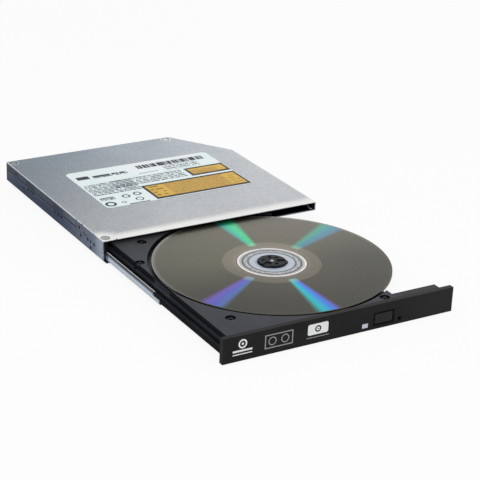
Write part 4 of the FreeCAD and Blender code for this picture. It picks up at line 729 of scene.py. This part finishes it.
def tray_plastic():
    """Painted shade at the case's mouth, below the deck, on upright walls and on the pockets' rear
    rims; also darker at the right.
    """
    s = Shader("tray_slate", TRAY, 0.42, Specular_IOR_Level=0.12)
    x, y, z = s.split()
    grain = s.noise(0.28, 3)
    rub = s.noise(3.0, 5, s.moved(scale=(1, 0.12, 1)))
    tone = s.clouded(s.noise(22, 2), TRAY, 0.88, 1.14)
    tone = s.mix(s.ramp(grain, 0.52, 0.72, 0, 0.35), tone, toned(TRAY, 1.7))
    tone = s.mix(s.ramp(rub, 0.6, 0.8, 0, 0.2), tone, toned(TRAY, 1.6))
    tone = s.mix(s.ramp(x, 30, 42, 0, 0.6), tone, toned(TRAY, 0.25))
    # Painted shade at the case's mouth
    mouth = s.ramp(y, CASE_FRONT - 26, CASE_FRONT - 3, 0, 0.75)
    tone = s.mix(mouth, tone, toned(TRAY, 0.25))
    # Painted shadow on the rear half of each pocket's rim
    rim_shadows = []
    for place in POCKETS:
        rear_half = s.math("GREATER_THAN", y, place[1] - 0.6)
        rim_shadows.append(s.times(s.ring(x, y, place, *POCKET_RIM), rear_half))
    tone = s.mix(s.times(s.either(*rim_shadows), 0.9), tone, toned(TRAY, 0.05))
    # Painted shade below the deck and on upright walls
    below = s.ramp(z, TRAY_DECK - 0.15, TRAY_DECK - 0.6)
    upright = s.ramp(s.facing_up(), 0.8, 0.3)
    shade_mask = s.either(s.times(below, 0.2), s.times(upright, 0.9))
    s.color(s.mix(shade_mask, tone, toned(TRAY, 0.08)))
    gloss = s.math("ADD", s.soft(grain, 0.38, 0.5), s.ramp(rub, 0.5, 0.8, 0, -0.06))
    s.roughness(s.math("ADD", gloss, s.times(upright, 0.4)))
    s.bump(grain, 0.012)
    return s.material


# Small technical materials

def circuit_board():
    """Solder mask with copper tracks beneath it, and tinned pads."""
    mask = (0.012, 0.085, 0.045)
    s = Shader("solder_mask", mask, 0.3)
    grid = {"Vector": s.moved(turn=0.785), "Scale": 0.45, "Mortar Size": 0.03,
            "Color1": (0, 0, 0, 1), "Color2": (0, 0, 0, 1), "Mortar": (1, 1, 1, 1)}
    lines = s.add("ShaderNodeTexBrick", grid).outputs["Color"]
    tracks = s.times(lines, s.ramp(s.noise(6, 1), 0.45, 0.5))
    tone = s.clouded(s.noise(10, 2), mask, 1.0, 1.4)
    tone = s.mix(tracks, tone, (0.05, 0.22, 0.10))
    pads = s.math("LESS_THAN", s.cells(2.6), 0.16)
    s.color(s.mix(pads, tone, (0.62, 0.60, 0.54)))
    s.roughness(s.soft(s.noise(0.6, 3), 0.24, 0.38))
    s.bump(s.either(tracks, pads), 0.03)
    return s.material


def chip_case():
    color = (0.018, 0.018, 0.02)
    s = Shader("chip_case", color, 0.55)
    grain = s.noise(0.2, 4)
    s.color(s.mix(s.ramp(grain, 0.45, 0.7), color, toned(color, 2.2)))
    s.roughness(s.soft(grain, 0.48, 0.64))
    s.bump(grain, 0.01)
    return s.material


def ribbon_film():
    """Amber film over a row of copper tracks that run lengthways."""
    s = Shader("ribbon_amber", (0.42, 0.19, 0.04), 0.28)
    x, _, _ = s.split()
    track = s.ramp(s.math("PINGPONG", x, 0.4), 0.14, 0.24)
    tone = s.mix(track, (0.46, 0.22, 0.05), (0.30, 0.115, 0.03))
    s.color(s.mix(s.soft(s.noise(4, 2), 0, 0.3), tone, (0.60, 0.30, 0.07)))
    s.roughness(s.soft(s.noise(1.5, 2), 0.22, 0.36))
    s.bump(track, 0.03)
    return s.material


def wound_copper():
    """Enamelled wire in close turns."""
    s = Shader("coil_copper", (0.60, 0.22, 0.07), 0.3, 0.9)
    radius, _ = s.polar(HUB)
    wire = 0.09
    turn = s.math("PINGPONG", radius, wire)
    tone = s.mix(s.ramp(turn, 0.0, wire), (0.34, 0.11, 0.03), (0.72, 0.30, 0.10))
    s.color(s.mix(s.soft(s.noise(1.2, 2), 0, 0.3), tone, (0.50, 0.17, 0.06)))
    s.roughness(s.soft(s.noise(0.8, 2), 0.24, 0.36))
    s.bump(turn, 0.08)
    return s.material


def stacked_steel():
    """Thin punched plates stacked upwards."""
    s = Shader("core_steel", (0.22, 0.23, 0.25), 0.45, 0.9)
    _, _, z = s.split()
    plate = s.math("PINGPONG", z, 0.1)
    s.color(s.mix(s.ramp(plate, 0.0, 0.05), (0.09, 0.09, 0.10), (0.27, 0.28, 0.31)))
    s.roughness(s.soft(s.noise(0.7, 3), 0.38, 0.54))
    s.bump(plate, 0.04)
    return s.material


def turned(name, color, rough):
    """Turned or pressed round surface: fine rings round the spindle."""
    s = Shader(name, color, rough, 1.0)
    radius, _ = s.polar(HUB)
    rings = s.rings(radius, 0.12)
    s.color(s.mix(s.crisp(rings, 0, 0.5), color, toned(color, 0.75)))
    s.roughness(s.soft(rings, rough - 0.05, rough + 0.08))
    s.bump(rings, 0.01)
    return s.material


def clear_lamp():
    s = Shader("lamp_milky", (0.72, 0.77, 0.86), 0.22, Transmission_Weight=0.15, Coat_Weight=0.4)
    ribs = s.noise(0.8, 1)
    s.color(s.mix(s.crisp(ribs), (0.56, 0.62, 0.74), (0.86, 0.90, 0.96)))
    s.roughness(s.soft(ribs, 0.18, 0.30))
    return s.material


def coated_lens():
    s = Shader("lens_coated", (0.16, 0.22, 0.50), 0.04, Transmission_Weight=0.6, IOR=1.53)
    s.color(s.mix(s.crisp(s.noise(1.4, 1)), (0.14, 0.20, 0.52), (0.32, 0.18, 0.50)))
    s.roughness(s.soft(s.noise(0.8, 2), 0.03, 0.07))
    return s.material


# Looks by material slot, and by node where one piece of a slot looks its own way

LOOKS = {
    "steel_case": zinc_sheet("zinc_case", False),
    "steel_screw": metal("screw_steel", (0.50, 0.50, 0.50), 0.34, size=0.3),
    "paper_label": label(),
    "spring_steel": metal("spring_steel", (0.90, 0.91, 0.92), 0.25, share=0.4),
    "guide_plastic": plastic("guide_acetal", (0.008, 0.008, 0.009), 0.42, Specular_IOR_Level=0.25),
    "rail_steel": rail_steel(),
    "cap_plastic": plastic("cap_black", (0.014, 0.014, 0.015), 0.4),
    "board_green": circuit_board(),
    "chip_black": chip_case(),
    "connector_plastic": plastic("connector_black", (0.02, 0.02, 0.022), 0.45),
    "contact_gold": metal("contact_gold", (0.83, 0.62, 0.28), 0.25),
    "socket_plastic": plastic("socket_ivory", (0.66, 0.62, 0.52), 0.45),
    "ribbon_film": ribbon_film(),
    "tray_plastic": tray_plastic(),
    "bezel_plastic": bezel(),
    "button_plastic": plastic("button_black", (0.026, 0.025, 0.027), 0.42,
                              Specular_IOR_Level=0.12),
    "lamp_plastic": clear_lamp(),
    "cover_steel": metal("cover_steel", (0.42, 0.44, 0.46), 0.38, size=0.6),
    "frame_steel": metal("frame_steel", (0.50, 0.51, 0.52), 0.32, (1, 0.3, 1), 0.6),
    "damper_rubber": plastic("damper_rubber", (0.02, 0.02, 0.022), 0.75),
    "bearing_bronze": metal("bearing_bronze", (0.50, 0.34, 0.16), 0.42, size=0.25),
    "core_steel": stacked_steel(),
    "coil_copper": wound_copper(),
    "rotor_steel": turned("rotor_steel", (0.60, 0.61, 0.62), 0.26),
    "magnet_dark": plastic("magnet_dark", (0.05, 0.048, 0.048), 0.55),
    "shaft_steel": metal("shaft_steel", (0.72, 0.73, 0.74), 0.16, size=0.2, spread=0.05),
    "turntable_plastic": turned("turntable_grey", (0.10, 0.10, 0.105), 0.4),
    "pad_rubber": plastic("pad_rubber", (0.016, 0.016, 0.018), 0.8),
    "hub_plastic": plastic("hub_black", (0.004, 0.007, 0.009), 0.4, grain=0.6, depth=0.05,
                           spread=0.4, Specular_IOR_Level=0.08),
    "disc_clear": disc_face(),
    "sled_metal": metal("sled_zinc", (0.38, 0.39, 0.41), 0.48, size=0.35, depth=0.02),
    "laser_plastic": plastic("laser_case", (0.05, 0.05, 0.055), 0.5),
    "yoke_steel": metal("yoke_steel", (0.52, 0.52, 0.53), 0.3),
    "lens_plastic": plastic("lens_holder", (0.03, 0.03, 0.035), 0.45),
    "lens_glass": coated_lens(),
    "motor_steel": metal("motor_can", (0.58, 0.59, 0.60), 0.26, (0.3, 0.3, 1), 0.3),
    "nut_plastic": plastic("nut_ivory", (0.66, 0.64, 0.58), 0.45),
    "switch_plastic": plastic("switch_black", (0.03, 0.03, 0.033), 0.4),
    "lever_plastic": plastic("lever_acetal", (0.60, 0.59, 0.54), 0.4),
    "solenoid_steel": metal("solenoid_steel", (0.44, 0.45, 0.47), 0.34),
    "pusher_plastic": plastic("pusher_black", (0.03, 0.03, 0.034), 0.4),
}

NODE_LOOKS = {
    "top_cover": zinc_sheet("zinc_cover", True),
}

for node_name, slot in slots.items():
    materials = nodes[node_name].data.materials
    materials.clear()
    materials.append(NODE_LOOKS.get(node_name) or LOOKS[slot])


# The coil spring and the flat cable, made anew in the places of their plain solids

WIRE_SIDES = 8
SPRING_STEPS = 220
SPRING_AXIS = (31.8, 4.6)
SPRING_SPAN = (-78.45, -60.85)
COIL_RADIUS = 1.1
WIRE_RADIUS = 0.19
TURNS = 11

CABLE_STEPS = 200
CABLE_SIDES = (-10.5, 11.5)
CABLE_HALF = 0.06
CABLE_PLUG = (36.25, 3.4)
CABLE_DROP = (33.25, 31.75)
CABLE_FLOOR = 0.66
CABLE_RISE = (-29.05, -51.05)
CABLE_END = (-62.45, 6.4)


def swept(name, rings):
    """A mesh through closed rings of points, with a face over each end."""
    sides = len(rings[0])
    faces = [tuple(range(sides)), tuple(range((len(rings) - 1) * sides, len(rings) * sides))]
    for i in range(len(rings) - 1):
        for k in range(sides):
            a, b = i * sides + k, i * sides + (k + 1) % sides
            faces.append((a, b, b + sides, a + sides))
    mesh = bpy.data.meshes.new(name)
    points = [tuple(c * MM for c in point) for ring in rings for point in ring]
    mesh.from_pydata(points, [], faces)
    shape = bmesh.new()
    shape.from_mesh(mesh)
    bmesh.ops.recalc_face_normals(shape, faces=shape.faces)
    shape.to_mesh(mesh)
    shape.free()
    piece = bpy.data.objects.new(name, mesh)
    bpy.context.scene.collection.objects.link(piece)
    return piece


def stand_for(piece, node, body):
    slot = slots[node]
    piece.data.materials.append(LOOKS[slot])
    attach(piece, body)
    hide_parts(node)


def spring_ring(share):
    """The wire's outline where share of the turns lies behind it."""
    turn = 2 * math.pi * TURNS * share
    start, end = SPRING_SPAN[0] + WIRE_RADIUS, SPRING_SPAN[1] - WIRE_RADIUS
    ring = []
    for k in range(WIRE_SIDES):
        around = 2 * math.pi * k / WIRE_SIDES
        radius = COIL_RADIUS + WIRE_RADIUS * math.cos(around)
        ring.append((SPRING_AXIS[0] + radius * math.cos(turn),
                     start + (end - start) * share + WIRE_RADIUS * math.sin(around),
                     SPRING_AXIS[1] + radius * math.sin(turn)))
    return ring


def eased(value):
    value = min(max(value, 0.0), 1.0)
    return value * value * (3 - 2 * value)


def cable_height(y):
    """Down from the plug, along the floor, and up to the socket in the tray."""
    high, low = CABLE_DROP
    if y > low:
        drop = CABLE_PLUG[1] - CABLE_FLOOR
        return CABLE_FLOOR + drop * eased((y - low) / (high - low))
    start, end = CABLE_RISE
    return CABLE_FLOOR + (CABLE_END[1] - CABLE_FLOOR) * eased((start - y) / (start - end))


def cable_ring(share):
    y = CABLE_PLUG[0] + (CABLE_END[0] - CABLE_PLUG[0]) * share
    z = cable_height(y)
    left, right = CABLE_SIDES
    return [(left, y, z - CABLE_HALF), (right, y, z - CABLE_HALF),
            (right, y, z + CABLE_HALF), (left, y, z + CABLE_HALF)]


spring = swept("ejection_coils", [spring_ring(i / SPRING_STEPS) for i in range(SPRING_STEPS + 1)])
for face in spring.data.polygons:
    face.use_smooth = True
stand_for(spring, "ejection_spring", "tray_body")
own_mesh(spring)

cable = swept("flat_cable", [cable_ring(i / CABLE_STEPS) for i in range(CABLE_STEPS + 1)])
stand_for(cable, "ribbon_cable", "chassis")
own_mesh(cable)


# Stage, in metres

FLOOR_SIZE = 12
FLOOR_HEIGHT = -0.0002
FLOOR_TONE = 0.86
FLOOR_GLOW = 0.9
AIR_LEVEL = 0.48
MIRROR_LEVEL = 0.52

CAMERA_PLACE = (-0.3836, -0.72386, 0.32882)
CAMERA_TURN = (66.8452, -2.156, -30.2924)
CAMERA_LENS = 118.137
CAMERA_SENSOR = 36.0


def floor_material():
    """White where it is seen, and a plain pale floor to the light."""
    material = bpy.data.materials.new("floor_white")
    material.use_nodes = True
    tree = material.node_tree
    tree.nodes.clear()
    out = tree.nodes.new("ShaderNodeOutputMaterial")
    lit = tree.nodes.new("ShaderNodeBsdfDiffuse")
    lit.inputs["Color"].default_value = (FLOOR_TONE, FLOOR_TONE, FLOOR_TONE, 1)
    glow = tree.nodes.new("ShaderNodeEmission")
    mix = tree.nodes.new("ShaderNodeMixShader")
    path = tree.nodes.new("ShaderNodeLightPath")
    share = tree.nodes.new("ShaderNodeMath")
    share.operation = "MULTIPLY"
    share.inputs[1].default_value = FLOOR_GLOW
    tree.links.new(path.outputs["Is Camera Ray"], share.inputs[0])
    tree.links.new(share.outputs[0], mix.inputs[0])
    tree.links.new(lit.outputs[0], mix.inputs[1])
    tree.links.new(glow.outputs[0], mix.inputs[2])
    tree.links.new(mix.outputs[0], out.inputs[0])
    return material


def sky():
    """White where it is seen, and a plain level of light on the part."""
    world = bpy.data.worlds.new("studio")
    bpy.context.scene.world = world
    world.use_nodes = True
    tree = world.node_tree
    background = tree.nodes["Background"]
    background.inputs["Color"].default_value = (1, 1, 1, 1)
    path = tree.nodes.new("ShaderNodeLightPath")
    level = None
    for ray, strength in (("Is Glossy Ray", MIRROR_LEVEL), ("Is Transmission Ray", 1.0),
                          ("Is Camera Ray", 1.0)):
        choice = tree.nodes.new("ShaderNodeMix")
        tree.links.new(path.outputs[ray], choice.inputs[0])
        if level is None:
            choice.inputs[2].default_value = AIR_LEVEL
        else:
            tree.links.new(level, choice.inputs[2])
        choice.inputs[3].default_value = strength
        level = choice.outputs[0]
    tree.links.new(level, background.inputs["Strength"])


def lamp(name, place, target, size, power):
    data = bpy.data.lights.new(name, "AREA")
    data.shape = "RECTANGLE"
    data.size, data.size_y = size
    data.energy = power
    light = bpy.data.objects.new(name, data)
    bpy.context.scene.collection.objects.link(light)
    light.location = place
    aim = Vector(target) - Vector(place)
    light.rotation_euler = aim.to_track_quat("-Z", "Y").to_euler()


bpy.ops.mesh.primitive_plane_add(size=FLOOR_SIZE, location=(0, 0, FLOOR_HEIGHT))
floor = bpy.context.object
floor.name = "floor"
floor.data.materials.append(floor_material())

sky()
lamp("key", (-0.5, -0.5, 1.1), (0, -0.1, 0), (0.8, 0.8), 6.8)
lamp("fill", (0.9, -0.4, 0.7), (0, -0.1, 0), (0.7, 0.7), 2.2)
lamp("back", (0.75, 0.8, 0.28), (0.04, -0.05, 0), (0.8, 0.3), 1.4)

camera_data = bpy.data.cameras.new("photo_view")
camera_data.lens = CAMERA_LENS
camera_data.sensor_width = CAMERA_SENSOR
camera_data.clip_start = 0.01
camera = bpy.data.objects.new("photo_view", camera_data)
bpy.context.scene.collection.objects.link(camera)
camera.location = CAMERA_PLACE
camera.rotation_euler = Euler([math.radians(a) for a in CAMERA_TURN])
bpy.context.scene.camera = camera
bpy.context.scene.view_settings.view_transform = "Standard"
